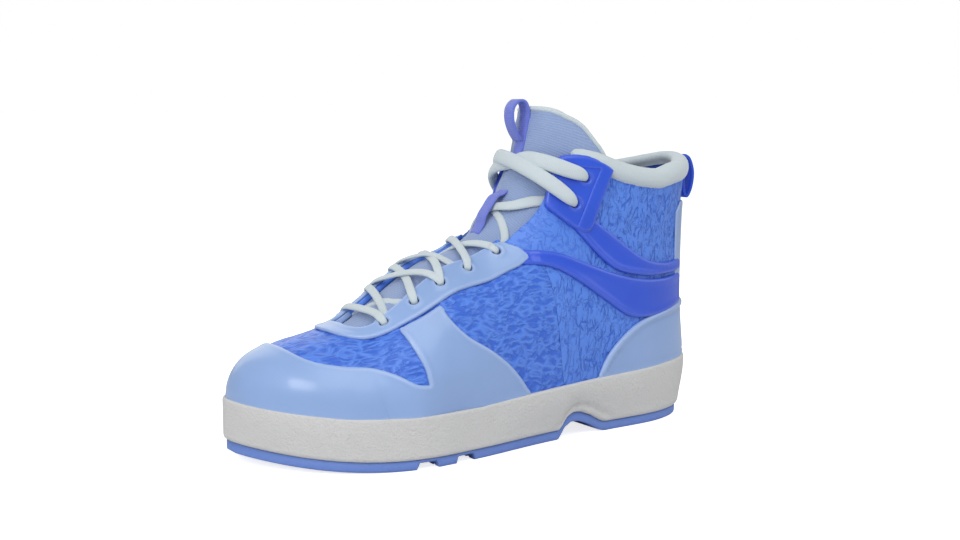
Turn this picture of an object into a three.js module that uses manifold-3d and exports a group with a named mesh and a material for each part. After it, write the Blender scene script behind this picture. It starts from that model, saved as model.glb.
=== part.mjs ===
// A left-foot high-top basketball shoe, as the separate pieces it is lasted, sewn and laced from.
// Millimetres. The origin is on the ground under the middle of the heel; +X points to the toe,
// +Y to the outer (lateral) side of the foot and +Z up.
import * as THREE from "three";
import { mergeVertices } from "three/addons/utils/BufferGeometryUtils.js";
import Module from "manifold-3d";

const wasm = await Module();
wasm.setup();

// ---------------------------------------------------------------- driving dimensions
const GAP = 0.4; // air left between two pieces that touch on the real shoe
const BOARD_Z = 26.6; // underside of the upper, where it stands in the midsole's cup
const TREAD = 5.6; // thickness of the rubber outsole
const TOE_SPRING = 7; // how far the toe of the sole curls up
const SPRING_START_X = 185; // where that curl starts
const TOE_X = 262;

// Layers of the upper, as distances along the outward normal from the lasted surface.
const SKIN = [-1.5, 0]; // vamp and quarters
const OVERLAY = [0.7, 2.4]; // moulded overlays welded on the skin
const PLATE = [0.7, 3.6]; // the thicker ankle plates
const STIFFENER = [-3.4, -2.0]; // toe puff and heel stiffener behind the skin
const LINING = [-5.1, -4.1];
const TONGUE_FACE = -5.2; // front face of the tongue between the eyestays
const TONGUE_WING_DROP = 3.4; // how much deeper its side wings lie, behind the quarters
const TONGUE_THICKNESS = 4.2;

// Eyelets as [station, angle]: five pairs in the eyestay and two in each ankle plate.
const EYELETS = [[5.5, 27], [6.25, 29], [6.9, 29], [7.6, 26], [8.4, 24]];
const PLATE_EYELETS = [[11.9, 36], [13.0, 36]];
const EYELET_R = 2.6;

// ---------------------------------------------------------------- the lasted surface
// The surface runs through section planes that all hold the Y direction. A section is [centre x,
// centre z, lean of its up direction, reach up, reach down, half width, roundness up, roundness down].
const TOE_PIVOT = [195, 24]; // the toe's sections fan round this point
const ANKLE_PIVOT = [150, 200]; // the heel's and ankle's sections fan round this one, before the instep

const toeSection = (lean, reach, halfWidth, round) =>
  [...TOE_PIVOT, lean, reach, 30, halfWidth, round, 2];
const footSection = (x, z, reach, down, halfWidth, round, roundDown) =>
  [x, z, 90, reach, down, halfWidth, round, roundDown];
function ankleSection(lean, distance, frontAt, back, halfWidth, round, roundBack) {
  const a = THREE.MathUtils.degToRad(lean);
  const x = ANKLE_PIVOT[0] - distance * Math.cos(a);
  const z = ANKLE_PIVOT[1] - distance * Math.sin(a);
  return [x, z, lean, distance - frontAt, back, halfWidth, round, roundBack];
}
const SECTIONS = [
  toeSection(0, 58.2, 47.5, 1.9),
  toeSection(15, 61.8, 47.5, 1.95),
  toeSection(30, 59.8, 48, 2.05),
  toeSection(48, 52.2, 48.5, 2.15),
  toeSection(68, 46.9, 48.5, 2.2),
  footSection(195, 24, 48.4, 30, 48.5, 2.2, 2),
  footSection(174, 36, 50.5, 32, 49.5, 2.1, 2.5),
  footSection(150, 48, 55, 42, 46.5, 2.05, 3),
  ankleSection(75, 150, 92, 60, 42, 2.05, 3),
  ankleSection(60, 150, 85.5, 95, 38.5, 2.1, 3),
  ankleSection(52, 150, 82, 108, 37.5, 2.2, 3),
  ankleSection(45, 150, 78.5, 106, 36, 2.3, 2.6),
  ankleSection(38, 149, 76, 81, 35.5, 2.4, 2.3),
  ankleSection(30, 147, 74, 63, 34.5, 2.5, 2.2),
  ankleSection(20, 144, 71.5, 51, 34.5, 2.6, 2.1),
  ankleSection(10, 142, 70, 47, 35, 2.6, 2.1),
  ankleSection(0, 140, 69, 45, 35.5, 2.6, 2.1),
];
const LAST_STATION = SECTIONS.length - 1;
const TOE_STATIONS = 5; // sections that fan round the toe

// Sideways shift of the shoe's centre line along its length: it swings to the inner side at the toe.
const CENTRE_LINE = [[-40, 0], [20, 3.5], [90, 4.5], [140, 4], [178, 2], [212, -3], [238, -10], [262, -18]];

const smooth = (v, from, to) => THREE.MathUtils.smoothstep(v, from, to);

function alongTable(table, x) {
  const next = table.findIndex((row) => row[0] > x);
  const k = next < 0 ? table.length - 1 : Math.max(next, 1);
  const [[x0, y0], [x1, y1]] = [table[k - 1], table[k]];
  return THREE.MathUtils.lerp(y0, y1, THREE.MathUtils.clamp((x - x0) / (x1 - x0), 0, 1));
}
const centreY = (x, z) => alongTable(CENTRE_LINE, x) * (1 - 0.75 * smooth(z, 50, 120));

// Catmull-Rom between the rows of a table, at a fractional row number.
function betweenRows(rows, t) {
  const last = rows.length - 1;
  const i = THREE.MathUtils.clamp(Math.floor(t), 0, last - 1);
  const f = t - i;
  return rows[0].map((_, c) => {
    const p1 = rows[i][c];
    const p2 = rows[i + 1][c];
    const p0 = i > 0 ? rows[i - 1][c] : 2 * p1 - p2;
    const p3 = i + 2 <= last ? rows[i + 2][c] : 2 * p2 - p1;
    return p1 + 0.5 * f * (p2 - p0 + f * (2 * p0 - 5 * p1 + 4 * p2 - p3 + f * (3 * (p1 - p2) + p3 - p0)));
  });
}

// A point of the lasted surface: angle 0 is the top or front centre line, +90 degrees the lateral
// side and 180 the sole or heel.
function lastPoint(station, angle) {
  const [x, z, lean, up, down, halfWidth, round, roundDown] = betweenRows(SECTIONS, station);
  const c = Math.cos(angle);
  const s = Math.sin(angle);
  const reach = c >= 0 ? up : down;
  const n = c >= 0 ? round : roundDown;
  const r = (Math.abs(c / reach) ** n + Math.abs(s / halfWidth) ** n) ** (-1 / n);
  const a = THREE.MathUtils.degToRad(lean);
  const px = x + r * c * Math.cos(a);
  const pz = z + r * c * Math.sin(a);
  return new THREE.Vector3(px, r * s + centreY(px, pz), pz);
}

function lastNormal(station, angle) {
  const [ds, da] = [0.02, 0.01];
  const t = THREE.MathUtils.clamp(station, ds, LAST_STATION - ds);
  const along = lastPoint(t + ds, angle).sub(lastPoint(t - ds, angle));
  const around = lastPoint(t, angle + da).sub(lastPoint(t, angle - da));
  return around.cross(along).normalize();
}

// A place given as station, angle in degrees and distance off the surface.
function onLast(station, degrees, offset) {
  const angle = THREE.MathUtils.degToRad(degrees);
  return lastPoint(station, angle).addScaledVector(lastNormal(station, angle), offset);
}

// ---------------------------------------------------------------- regions of the surface
// An outline is drawn in two dimensions from stretches that join end to end: two points make a line,
// more make a smooth curve through them.
function outline(...stretches) {
  const points = [];
  for (const stretch of stretches) {
    const at = stretch.map(([a, b]) => new THREE.Vector2(a, b));
    points.push(...(at.length > 2 ? new THREE.SplineCurve(at).getPoints(5 * (at.length - 1)) : at));
  }
  return points.filter((p, i) => p.distanceTo(points[(i + 1) % points.length]) > 1e-6);
}

// Signed distance to an outline, positive inside it.
function insideOutline(points, a, b) {
  let inside = false;
  let nearest = Infinity;
  points.forEach((p, i) => {
    const q = points[(i + 1) % points.length];
    const [ex, ey, wx, wy] = [q.x - p.x, q.y - p.y, a - p.x, b - p.y];
    const f = THREE.MathUtils.clamp((wx * ex + wy * ey) / (ex * ex + ey * ey), 0, 1);
    nearest = Math.min(nearest, Math.hypot(wx - ex * f, wy - ey * f));
    if (p.y > b !== q.y > b && a < (ex * (b - p.y)) / ey + p.x) inside = !inside;
  });
  return inside ? nearest : -nearest;
}
const inSideView = (points) => (p) => insideOutline(points, p.x, p.z);
const inPlanView = (points) => (p) => insideOutline(points, p.x, Math.abs(p.y - centreY(p.x, p.z)));
const both = (...fields) => (p) => Math.min(...fields.map((f) => f(p)));
const less = (field, cut, gap = GAP) => (p) => Math.min(field(p), -cut(p) - gap);
const onSide = (sign) => (p) => sign * (p.y - centreY(p.x, p.z));
const above = (height) => (p) => p.z - height;

// Top rim of the midsole: high at the heel, lowest at the ball of the foot, and up again at the toe.
const RIM = [
  [-36, 37], [5, 35], [55, 33.5], [105, 31], [140, 28.5], [185, 28.5], [218, 30], [245, 33], [262, 35],
];
const rimZ = (x) => alongTable(RIM, x);
const RIM_GAP = 1.1; // between the overlays and the rim
const aboveRim = (p) => p.z - rimZ(p.x) - RIM_GAP;
const inCup = above(BOARD_Z);

const THROAT_INNER = [
  [104, 22.5], [112, 18.5], [124, 17.5], [145, 18], [180, 18.5], [192, 17], [198, 10], [198.6, 0],
];
const EYESTAY_INNER = [[98.5, 29.6], [101.5, 27], [106, 24.2], [111, 21], ...THROAT_INNER.slice(2)];
const EYESTAY_OUTER = [
  [209, 0], [207, 13], [200, 22.5], [188.5, 27.8], [176, 31.3], [159, 33], [128, 31], [114, 30.6],
  [104.5, 31], [98.5, 30.6],
];
const THROAT_FRONT_X = 198.6;
const INSTEP_Z = 50; // the eyestay lies above this height
const eyestayPlan = inPlanView(outline(EYESTAY_OUTER, EYESTAY_INNER, [[THROAT_FRONT_X, -5]], [[209, -5]]));
const eyestayRegion = both(eyestayPlan, above(INSTEP_Z));
const throatRegion = inPlanView(outline([[104, -5]], THROAT_INNER, [[THROAT_FRONT_X, -5]]));

// Outlines below are in side view, as [x, z].
const SEAM = [[78, 15], [83, 45], [85.5, 75], [88, 95], [97, 106], [110, 111.5]]; // vamp meets quarter
const QUARTER_FRONT = [[110, 111.5], [98, 120], [89, 128], [83, 136], [79, 146], [74, 156]];
const QUARTER_TOP = [[74, 156], [52, 149], [35, 145], [15, 140.5], [-5, 139.8], [-25, 142], [-50, 144.5]];
const BEHIND_HEEL = [[-60, 144.5], [-60, 15]];
const BEFORE_TOE = [[300, 15], [300, 200]];
const OVER_INSTEP = [[110, 200]];
const vampSide = inSideView(outline(SEAM, OVER_INSTEP, BEFORE_TOE.toReversed()));
const quarterSide = inSideView(outline(SEAM, QUARTER_FRONT, QUARTER_TOP, BEHIND_HEEL));
const upperSide = inSideView(outline(QUARTER_FRONT, QUARTER_TOP, BEHIND_HEEL, BEFORE_TOE, OVER_INSTEP));

const TOE_EDGE = [
  [238, 76], [236, 66], [228, 58], [214, 55], [201, 54], [190, 50.5], [181, 45.5], [173.5, 44.5],
];
const BAND_FRONT = [[173.5, 44.5], [175, 52], [179, 63], [182.5, 75], [184, 92]];
const BAND_BACK = [[160, 92], [158, 83], [155, 75], [147, 66.5], [133, 58], [119, 47], [106, 31], [102, 15]];
const toeRegion = inSideView(outline(TOE_EDGE, BAND_FRONT, BAND_BACK, [[280, 15], [280, 76]]));

const HEEL_TOP = [[-50, 71], [-20, 70], [6, 67], [24, 62.5], [38, 55], [49, 45], [55, 34], [58, 20]];
const heelRegion = inSideView(outline(HEEL_TOP, [[58, 20], [58, 5]], [[58, 5], [-50, 5]]));
// Side outline of the tongue's top edge, and the line its free flap flexes on.
const TONGUE_TOP = [
  [96, 190], [80, 186.8], [75, 185.8], [69, 183], [58.5, 177.2], [50.3, 168.5], [45, 162.5], [40, 154],
];
const TONGUE_REST = [[[40, 138]], [[50, 118]], [[95, 70]], [[205, 40]], [[206, 90]], [[130, 140]]];
const tongueSide = inSideView(outline(TONGUE_TOP, ...TONGUE_REST));
// The flap's lower edge and the fixed tongue's upper one part toward the heel.
const FLEX = { x: 86, z: 157, gap: 1.3, riseOver: 0.24, riseUnder: 0.02 };
const overFlexLine = (p) => p.z - FLEX.z - (FLEX.x - p.x) * FLEX.riseOver;
const underFlexLine = (p) => FLEX.z - FLEX.gap - (FLEX.x - p.x) * FLEX.riseUnder - p.z;

// ---------------------------------------------------------------- solids
// The angle at a share of the way round a section by its own length: 0 is the top and 1 or -1 the bottom.
const ARC_SAMPLES = 60;
const arcTables = new Map();
function evenAngle(station, share) {
  if (!arcTables.has(station)) {
    const lengths = [0];
    for (let k = 1; k <= ARC_SAMPLES; k++) {
      const [a, b] = [k - 1, k].map((n) => lastPoint(station, (Math.PI * n) / ARC_SAMPLES));
      lengths.push(lengths[k - 1] + a.distanceTo(b));
    }
    const whole = lengths[ARC_SAMPLES];
    arcTables.set(station, lengths.map((length, k) => [length / whole, (Math.PI * k) / ARC_SAMPLES]));
  }
  return Math.sign(share) * alongTable(arcTables.get(station), Math.abs(share));
}

// A closed sheet of material over the part of the surface where field is positive, between two offsets.
const NO_SLIVER = 0.35; // a grid point this near an outline counts as this far from it
// Steps are rows per station at the toe, rows per station elsewhere, and columns round a section.
const STEPS = { fine: [2, 2, 36], coarse: [1, 2, 24] };
function sheet(field, inner, outer, steps = STEPS.coarse) {
  const [toeSteps, bodySteps, columns] = steps;
  const toeRows = TOE_STATIONS * toeSteps;
  const rows = toeRows + (LAST_STATION - TOE_STATIONS) * bodySteps + 1;
  const nodes = [];
  for (let i = 0; i < rows; i++) {
    for (let j = 0; j < columns; j++) {
      const station = i < toeRows ? i / toeSteps : TOE_STATIONS + (i - toeRows) / bodySteps;
      const angle = evenAngle(station, (2 * j) / columns - 1);
      const at = lastPoint(station, angle);
      const value = field(at, station, angle);
      const kept = Math.abs(value) < NO_SLIVER ? NO_SLIVER * Math.sign(value || 1) : value;
      nodes.push({ at, station, angle, value: kept, normal: lastNormal(station, angle) });
    }
  }
  const depth = (d, node) => (typeof d === "function" ? d(node.station, node.angle) : d);
  for (const node of nodes) {
    node.inner = node.at.clone().addScaledVector(node.normal, depth(inner, node));
    node.outer = node.at.clone().addScaledVector(node.normal, depth(outer, node));
  }
  const vertices = []; // pairs: outer point, inner point
  const keys = new Map();
  const vertexAt = (a, b) => {
    const key = b === undefined ? `${a}` : `${Math.min(a, b)}:${Math.max(a, b)}`;
    if (!keys.has(key)) {
      const [p, q] = b === undefined || a < b ? [nodes[a], nodes[b ?? a]] : [nodes[b], nodes[a]];
      const f = b === undefined ? 0 : p.value / (p.value - q.value);
      keys.set(key, vertices.length);
      vertices.push([p.outer.clone().lerp(q.outer, f), p.inner.clone().lerp(q.inner, f)]);
    }
    return keys.get(key);
  };
  const faces = [];
  const clip = (corners) => {
    const ring = [];
    corners.forEach((a, k) => {
      const b = corners[(k + 1) % 3];
      if (nodes[a].value > 0) ring.push(vertexAt(a));
      if (nodes[a].value > 0 !== nodes[b].value > 0) ring.push(vertexAt(a, b));
    });
    for (let k = 1; k + 1 < ring.length; k++) faces.push([ring[0], ring[k], ring[k + 1]]);
  };
  for (let i = 0; i + 1 < rows; i++) {
    for (let j = 0; j < columns; j++) {
      const [a, b] = [i * columns + j, i * columns + ((j + 1) % columns)];
      clip([a, a + columns, b + columns]);
      clip([a, b + columns, b]);
    }
  }
  return closeSheet(vertices, faces);
}

// Outer faces, the same faces reversed on the inner side, and a wall along every free edge.
function closeSheet(vertices, faces) {
  const triangles = [];
  const edges = new Map();
  for (const [a, b, c] of faces) {
    triangles.push([2 * a, 2 * b, 2 * c], [2 * a + 1, 2 * c + 1, 2 * b + 1]);
    for (const [p, q] of [[a, b], [b, c], [c, a]]) {
      if (!edges.delete(`${q}:${p}`)) edges.set(`${p}:${q}`, [p, q]);
    }
  }
  for (const [p, q] of edges.values()) {
    triangles.push([2 * q, 2 * p, 2 * p + 1], [2 * q, 2 * p + 1, 2 * q + 1]);
  }
  const positions = vertices.flatMap(([o, i]) => [o.x, o.y, o.z, i.x, i.y, i.z]);
  return facing(positions, triangles);
}

function facing(positions, triangles) {
  const geometry = new THREE.BufferGeometry();
  geometry.setAttribute("position", new THREE.Float32BufferAttribute(positions, 3));
  geometry.setIndex(triangles.flat());
  if (toSolid(geometry).volume() < 0) geometry.setIndex(triangles.map(([a, b, c]) => [a, c, b]).flat());
  return geometry;
}

// Rings of points of equal length, joined in order and closed at both ends.
function loft(rings) {
  const n = rings[0].length;
  const positions = rings.flat().flatMap((p) => [p.x, p.y, p.z]);
  const triangles = [];
  for (let k = 0; k + 1 < rings.length; k++) {
    for (let j = 0; j < n; j++) {
      const [a, b] = [k * n + j, k * n + ((j + 1) % n)];
      triangles.push([a, b, b + n], [a, b + n, a + n]);
    }
  }
  for (const [start, flip] of [[0, true], [(rings.length - 1) * n, false]]) {
    const ring = rings[start / n];
    const centre = ring.reduce((sum, p) => sum.add(p), new THREE.Vector3()).divideScalar(n);
    const hub = positions.length / 3;
    positions.push(centre.x, centre.y, centre.z);
    for (let j = 0; j < n; j++) {
      const [a, b] = [start + j, start + ((j + 1) % n)];
      triangles.push(flip ? [hub, b, a] : [hub, a, b]);
    }
  }
  return facing(positions, triangles);
}

// A bar swept through points; each has a position, an up direction, a half width and a half thickness.
function sweep(points, sides = 6, flat = false) {
  let across = null;
  const rings = points.map((here, k) => {
    const before = points[Math.max(k - 1, 0)].at;
    const after = points[Math.min(k + 1, points.length - 1)].at;
    const along = after.clone().sub(before).normalize();
    const wanted = along.clone().cross(here.up);
    if (across === null || wanted.length() > 0.5) {
      if (across !== null && wanted.dot(across) < 0) wanted.negate();
      across = wanted.normalize();
    } else {
      across = across.clone().addScaledVector(along, -across.dot(along)).normalize();
    }
    const over = along.clone().cross(across);
    const corner = flat
      ? [[1, 1], [-1, 1], [-1, -1], [1, -1]]
      : Array.from({ length: sides }, (_, j) => {
          const a = (2 * Math.PI * (j + 0.5)) / sides;
          return [Math.cos(a), Math.sin(a)];
        });
    return corner.map(([u, v]) =>
      here.at.clone().addScaledVector(across, u * here.half).addScaledVector(over, v * here.thick));
  });
  return loft(rings);
}

// Samples a table of [station, degrees, offset, half width, half thickness] rows into points for sweep.
function routeOnLast(rows, samplesPerRow) {
  const count = Math.round((rows.length - 1) * samplesPerRow);
  return Array.from({ length: count + 1 }, (_, k) => {
    const [station, degrees, offset, half, thick] = betweenRows(rows, (k * (rows.length - 1)) / count);
    const up = lastNormal(station, THREE.MathUtils.degToRad(degrees));
    return { at: onLast(station, degrees, offset), up, half, thick };
  });
}

function toSolid(geometry) {
  const bare = geometry.clone();
  bare.deleteAttribute("normal");
  bare.deleteAttribute("uv");
  const merged = mergeVertices(bare, 1e-4);
  return new wasm.Manifold(new wasm.Mesh({
    numProp: 3,
    vertProperties: merged.attributes.position.array,
    triVerts: new Uint32Array(merged.index.array),
  }));
}
function toGeometry(solid) {
  const mesh = solid.getMesh();
  const geometry = new THREE.BufferGeometry();
  geometry.setAttribute("position", new THREE.Float32BufferAttribute(mesh.vertProperties, 3));
  geometry.setIndex(new THREE.BufferAttribute(mesh.triVerts, 1));
  return geometry;
}
const cut = (geometry, ...tools) =>
  toGeometry(tools.reduce((solid, tool) => solid.subtract(toSolid(tool)), toSolid(geometry)));

// A punch that drills an eyelet square to the surface.
function eyeletPunch(station, degrees) {
  const up = lastNormal(station, THREE.MathUtils.degToRad(degrees));
  const punch = new THREE.CylinderGeometry(EYELET_R, EYELET_R, 12, 6);
  const turn = new THREE.Quaternion().setFromUnitVectors(new THREE.Vector3(0, 1, 0), up);
  const at = onLast(station, degrees, 0);
  return punch.applyMatrix4(new THREE.Matrix4().compose(at, turn, new THREE.Vector3(1, 1, 1)));
}
const punches = (list) => list.flatMap(([s, a]) => [eyeletPunch(s, a), eyeletPunch(s, -a)]);

// ---------------------------------------------------------------- sole unit
// Ground outline of the sole, heel first and then round by the lateral side.
const SOLE_OUTLINE = [
  [-33, 0], [-22, 23], [4, 36], [46, 39], [92, 43], [140, 51], [178, 53.5], [212, 43], [238, 22],
  [256, -8], [256, -28], [238, -43], [196, -49.5], [144, -43], [92, -34], [46, -31], [4, -32], [-23, -22],
];
const SOLE_POINTS = 64;
const soleCurve = new THREE.CatmullRomCurve3(
  SOLE_OUTLINE.map(([x, y]) => new THREE.Vector3(x, y, 0)), true, "catmullrom", 0.5,
);
function soleRing(inset, heightAt) {
  const ring = [];
  for (let k = 0; k < SOLE_POINTS; k++) {
    const p = soleCurve.getPoint(k / SOLE_POINTS);
    const tangent = soleCurve.getTangent(k / SOLE_POINTS);
    const x = p.x - tangent.y * -inset;
    const y = p.y - tangent.x * inset;
    ring.push(new THREE.Vector3(x, y, heightAt(x)));
  }
  return ring;
}
// The ground line: flat, raised through the arch and curled up at the toe.
const ARCH = [[46, 0], [50, 1], [58, 5.5], [66, 8.6], [72, 9], [77, 6.5], [80, 2.5], [82, 0]];
function toeCurl(x) {
  const along = (x - SPRING_START_X) / (TOE_X - SPRING_START_X);
  return TOE_SPRING * THREE.MathUtils.clamp(along, 0, 1) ** 2;
}
const groundZ = (x) => (x > ARCH[0][0] && x < ARCH.at(-1)[0] ? alongTable(ARCH, x) : toeCurl(x));
const treadTopZ = (x) => groundZ(x) + TREAD;

const box = (x0, x1, y0, y1, z0, z1) =>
  new THREE.BoxGeometry(x1 - x0, y1 - y0, z1 - z0).translate((x0 + x1) / 2, (y0 + y1) / 2, (z0 + z1) / 2);

// Flat slab with the sole's outline whose top and bottom follow the length of the shoe. It is built from
// strips across the shoe, so that flat stretches stay flat.
function soleSlab(inset, bottomAt, topAt, xs, flareAt = () => 0) {
  const strips = [];
  const ring = soleRing(inset, () => 0);
  const crossings = (x) => {
    const ys = [];
    ring.forEach((p, i) => {
      const q = ring[(i + 1) % ring.length];
      if (p.x > x !== q.x > x) ys.push(p.y + ((q.y - p.y) * (x - p.x)) / (q.x - p.x));
    });
    return [Math.min(...ys), Math.max(...ys)];
  };
  for (const x of xs) {
    const [y0, y1] = crossings(x);
    const [z0, z1] = [bottomAt(x), topAt(x)];
    const flare = flareAt(x);
    strips.push([new THREE.Vector3(x, y0, z0), new THREE.Vector3(x, y1, z0),
      new THREE.Vector3(x, y1 + flare, z1), new THREE.Vector3(x, y0 - flare, z1)]);
  }
  return loft(strips);
}

// Stations across the sole: close together at its round ends and through the arch.
function soleStations(inset) {
  const xs = soleRing(inset, () => 0).map((p) => p.x);
  const [heel, toe] = [Math.min(...xs) + 0.05, Math.max(...xs) - 0.05];
  const ends = [0, 1.2, 4, 9, 16, 26];
  const middle = [30, 46, 50, 58, 66, 72, 77, 80, 82, 100, 125, 150, 175, 200, 215];
  return [...ends.map((d) => heel + d), ...middle, ...ends.map((d) => toe - d).reverse()];
}

const FLEX_GROOVES = [[145, 157, 3.6], [169, 181, 3.6]]; // across the ball of the foot, open at both edges
const TREAD_GROOVES = [[-14, -10, 2.4], [14, 18, 2.4], [100, 104, 2.4], [122, 126, 2.4], [200, 204, 2.4]];
const TREAD_INSET = 1.5; // of the rubber from the foam's wall
const WIDE = 80; // past both edges of the sole
const TREAD_HALF_WIDTH = 22;
function outsole() {
  const slab = soleSlab(TREAD_INSET, groundZ, treadTopZ, soleStations(TREAD_INSET));
  const across = FLEX_GROOVES.map(([x0, x1, d]) => box(x0, x1, -WIDE, WIDE, -1, d));
  const hidden = TREAD_GROOVES.map(([x0, x1, d]) =>
    box(x0, x1, -TREAD_HALF_WIDTH, TREAD_HALF_WIDTH, -1, d + groundZ(x0)));
  return cut(slab, ...across, ...hidden);
}

const CUP_CLEARANCE = 1; // round the upper, where the sole is cemented on
// Outward lean of the waist's walls along the shoe.
const FLARE = [[4, 0], [20, 2.2], [42, 4.2], [90, 4], [112, 1.6], [128, 0]];
function midsole() {
  const flareAt = (x) => alongTable(FLARE, x);
  const block = soleSlab(0, (x) => treadTopZ(x) + GAP, rimZ, soleStations(0), flareAt);
  const cup = loft([BOARD_Z - GAP, 29, 34, 44].map((z) => levelRing(z, CUP_CLEARANCE)));
  return cut(block, cup, shankPlate(GAP));
}

// The shank sits in a pocket in the floor of the cup.
const SHANK = { x0: 38, x1: 118, y: 4, halfWidth: 11, z0: 21.4, z1: 23.6 };
const shankPlate = (grow) => box(
  SHANK.x0 - grow, SHANK.x1 + grow, SHANK.y - SHANK.halfWidth - grow, SHANK.y + SHANK.halfWidth + grow,
  SHANK.z0 - grow, grow > 0 ? BOARD_Z + 1 : SHANK.z1,
);

// Bisection for the place between two others where a height falls to a level.
function crossing(heightAt, level, above, below) {
  let [high, low] = [above, below];
  for (let k = 0; k < 30; k++) {
    const middle = (high + low) / 2;
    if (heightAt(middle) > level) high = middle;
    else low = middle;
  }
  return (high + low) / 2;
}
const HEEL_CURVE_STATION = 8;
const backStation = (z) => crossing((t) => lastPoint(t, Math.PI).z, z, LAST_STATION, HEEL_CURVE_STATION);

// Horizontal outline of the upper at a height, moved outward by an offset. It goes round the toe and the
// heel by angle, and along the foot by station.
const HEEL_STATION = 10; // sections behind this one bend round the heel
const RING_STEPS = 8;
function levelRing(z, offset) {
  const stationAt = (angle, lowEnd, highEnd) => crossing((t) => lastPoint(t, angle).z, z, highEnd, lowEnd);
  const angleAt = (station) => crossing((a) => lastPoint(station, a).z, z, 0, Math.PI);
  const [toeEnd, heelStart] = [angleAt(TOE_STATIONS), angleAt(HEEL_STATION)];
  const places = [];
  for (let k = 0; k < RING_STEPS; k++) {
    const angle = (toeEnd * k) / RING_STEPS;
    places.push([stationAt(angle, 0, TOE_STATIONS), angle]);
  }
  for (let k = 0; k < RING_STEPS; k++) {
    const station = THREE.MathUtils.lerp(TOE_STATIONS, HEEL_STATION, k / RING_STEPS);
    places.push([station, angleAt(station)]);
  }
  for (let k = 0; k <= RING_STEPS; k++) {
    const angle = THREE.MathUtils.lerp(heelStart, Math.PI, k / RING_STEPS);
    places.push([stationAt(angle, HEEL_STATION, LAST_STATION), angle]);
  }
  const side = (sign) => places.map(([station, angle]) => {
    const out = lastNormal(station, sign * angle).setZ(0).normalize();
    return lastPoint(station, sign * angle).addScaledVector(out, offset).setZ(z);
  });
  return [...side(1), ...side(-1).reverse().slice(1, -1)];
}
const board = (offset, z0, z1) => loft([levelRing(z0, offset), levelRing(z1, offset)]);

// ---------------------------------------------------------------- patches drawn between two edges
// Finds the [station, degrees] of a point seen from the side, or from above when plan is true.
function locate(first, second, sign, plan = false) {
  const seen = (t, a) => {
    const p = lastPoint(t, sign * a);
    return plan ? [p.x, sign * (p.y - centreY(p.x, p.z))] : [p.x, p.z];
  };
  const miss = (t, a) => {
    const [u, v] = seen(t, a);
    return Math.hypot(u - first, v - second);
  };
  let [t, a, reach] = [0, 0, Infinity];
  for (let i = 0.5; i < LAST_STATION; i += 0.5) {
    for (let j = 0.1; j < (plan ? 1.4 : 3.1); j += 0.15) {
      if (miss(i, j) < reach) [t, a, reach] = [i, j, miss(i, j)];
    }
  }
  for (let step = 0.25; step > 1e-4; step /= 2) {
    for (let again = 0; again < 4; again++) {
      for (const [dt, da] of [[step, 0], [-step, 0], [0, step], [0, -step]]) {
        if (miss(t + dt, a + da) < miss(t, a)) [t, a] = [t + dt, a + da];
      }
    }
  }
  return [t, THREE.MathUtils.radToDeg(sign * a)];
}
function edge(points, sign, count) {
  const curve = new THREE.SplineCurve(points.map(([x, z]) => new THREE.Vector2(x, z)));
  return curve.getSpacedPoints(count).map((p) => locate(p.x, p.y, sign));
}
// An edge drawn in plan on one side, from its rear end to the centre line, and mirrored to the other.
function planEdge(points, count = 12) {
  const curve = new THREE.SplineCurve(points.map(([x, y]) => new THREE.Vector2(x, y)));
  const side = curve.getSpacedPoints(count).map((p) => locate(p.x, p.y, 1, true));
  return [...side, ...side.slice(0, -1).reverse().map(([station, degrees]) => [station, -degrees])];
}
function patch(edgeA, edgeB, [inner, outer], across = 2) {
  const at = (i, j, offset) => {
    const f = j / across;
    const station = THREE.MathUtils.lerp(edgeA[i][0], edgeB[i][0], f);
    return onLast(station, THREE.MathUtils.lerp(edgeA[i][1], edgeB[i][1], f), offset);
  };
  const vertices = [];
  const faces = [];
  const width = across + 1;
  for (let i = 0; i < edgeA.length; i++) {
    for (let j = 0; j < width; j++) vertices.push([at(i, j, outer), at(i, j, inner)]);
  }
  for (let i = 0; i + 1 < edgeA.length; i++) {
    for (let j = 0; j < across; j++) {
      const a = i * width + j;
      faces.push([a, a + width, a + width + 1], [a, a + width + 1, a + 1]);
    }
  }
  return closeSheet(vertices, faces);
}

const LOWER_STRAP = [
  [[93.5, 107.2], [82, 106.3], [65, 101], [41, 93], [21, 88.2], [2, 87], [-12, 87.5]],
  [[99, 101.6], [85, 98], [67, 89], [47, 76], [32, 68.5], [10, 71.5], [-12, 72.5]],
];
const UPPER_STRAP = [
  [[50, 121.5], [41, 114.5], [30, 107], [20, 101], [9, 97.3], [-2, 96.2], [-12, 96.2]],
  [[62, 115], [51, 102], [44, 97], [35, 93.5], [18, 89.8], [2, 90], [-12, 90]],
];
const ANKLE_PLATE = [
  [[63.5, 116.5], [70, 121], [76, 126], [82, 133], [79, 144], [76, 153], [71, 159]],
  [[57, 119.5], [54.5, 126], [51, 132.5], [47.5, 139], [44, 146], [41, 152], [55, 160]],
];
const strap = (edges, sign, layer) => patch(edge(edges[0], sign, 10), edge(edges[1], sign, 10), layer);
const anklePlate = (sign) => cut(
  patch(edge(ANKLE_PLATE[0], sign, 8), edge(ANKLE_PLATE[1], sign, 8), PLATE, 4),
  ...PLATE_EYELETS.map(([s, a]) => eyeletPunch(s, sign * a)),
);

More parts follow.
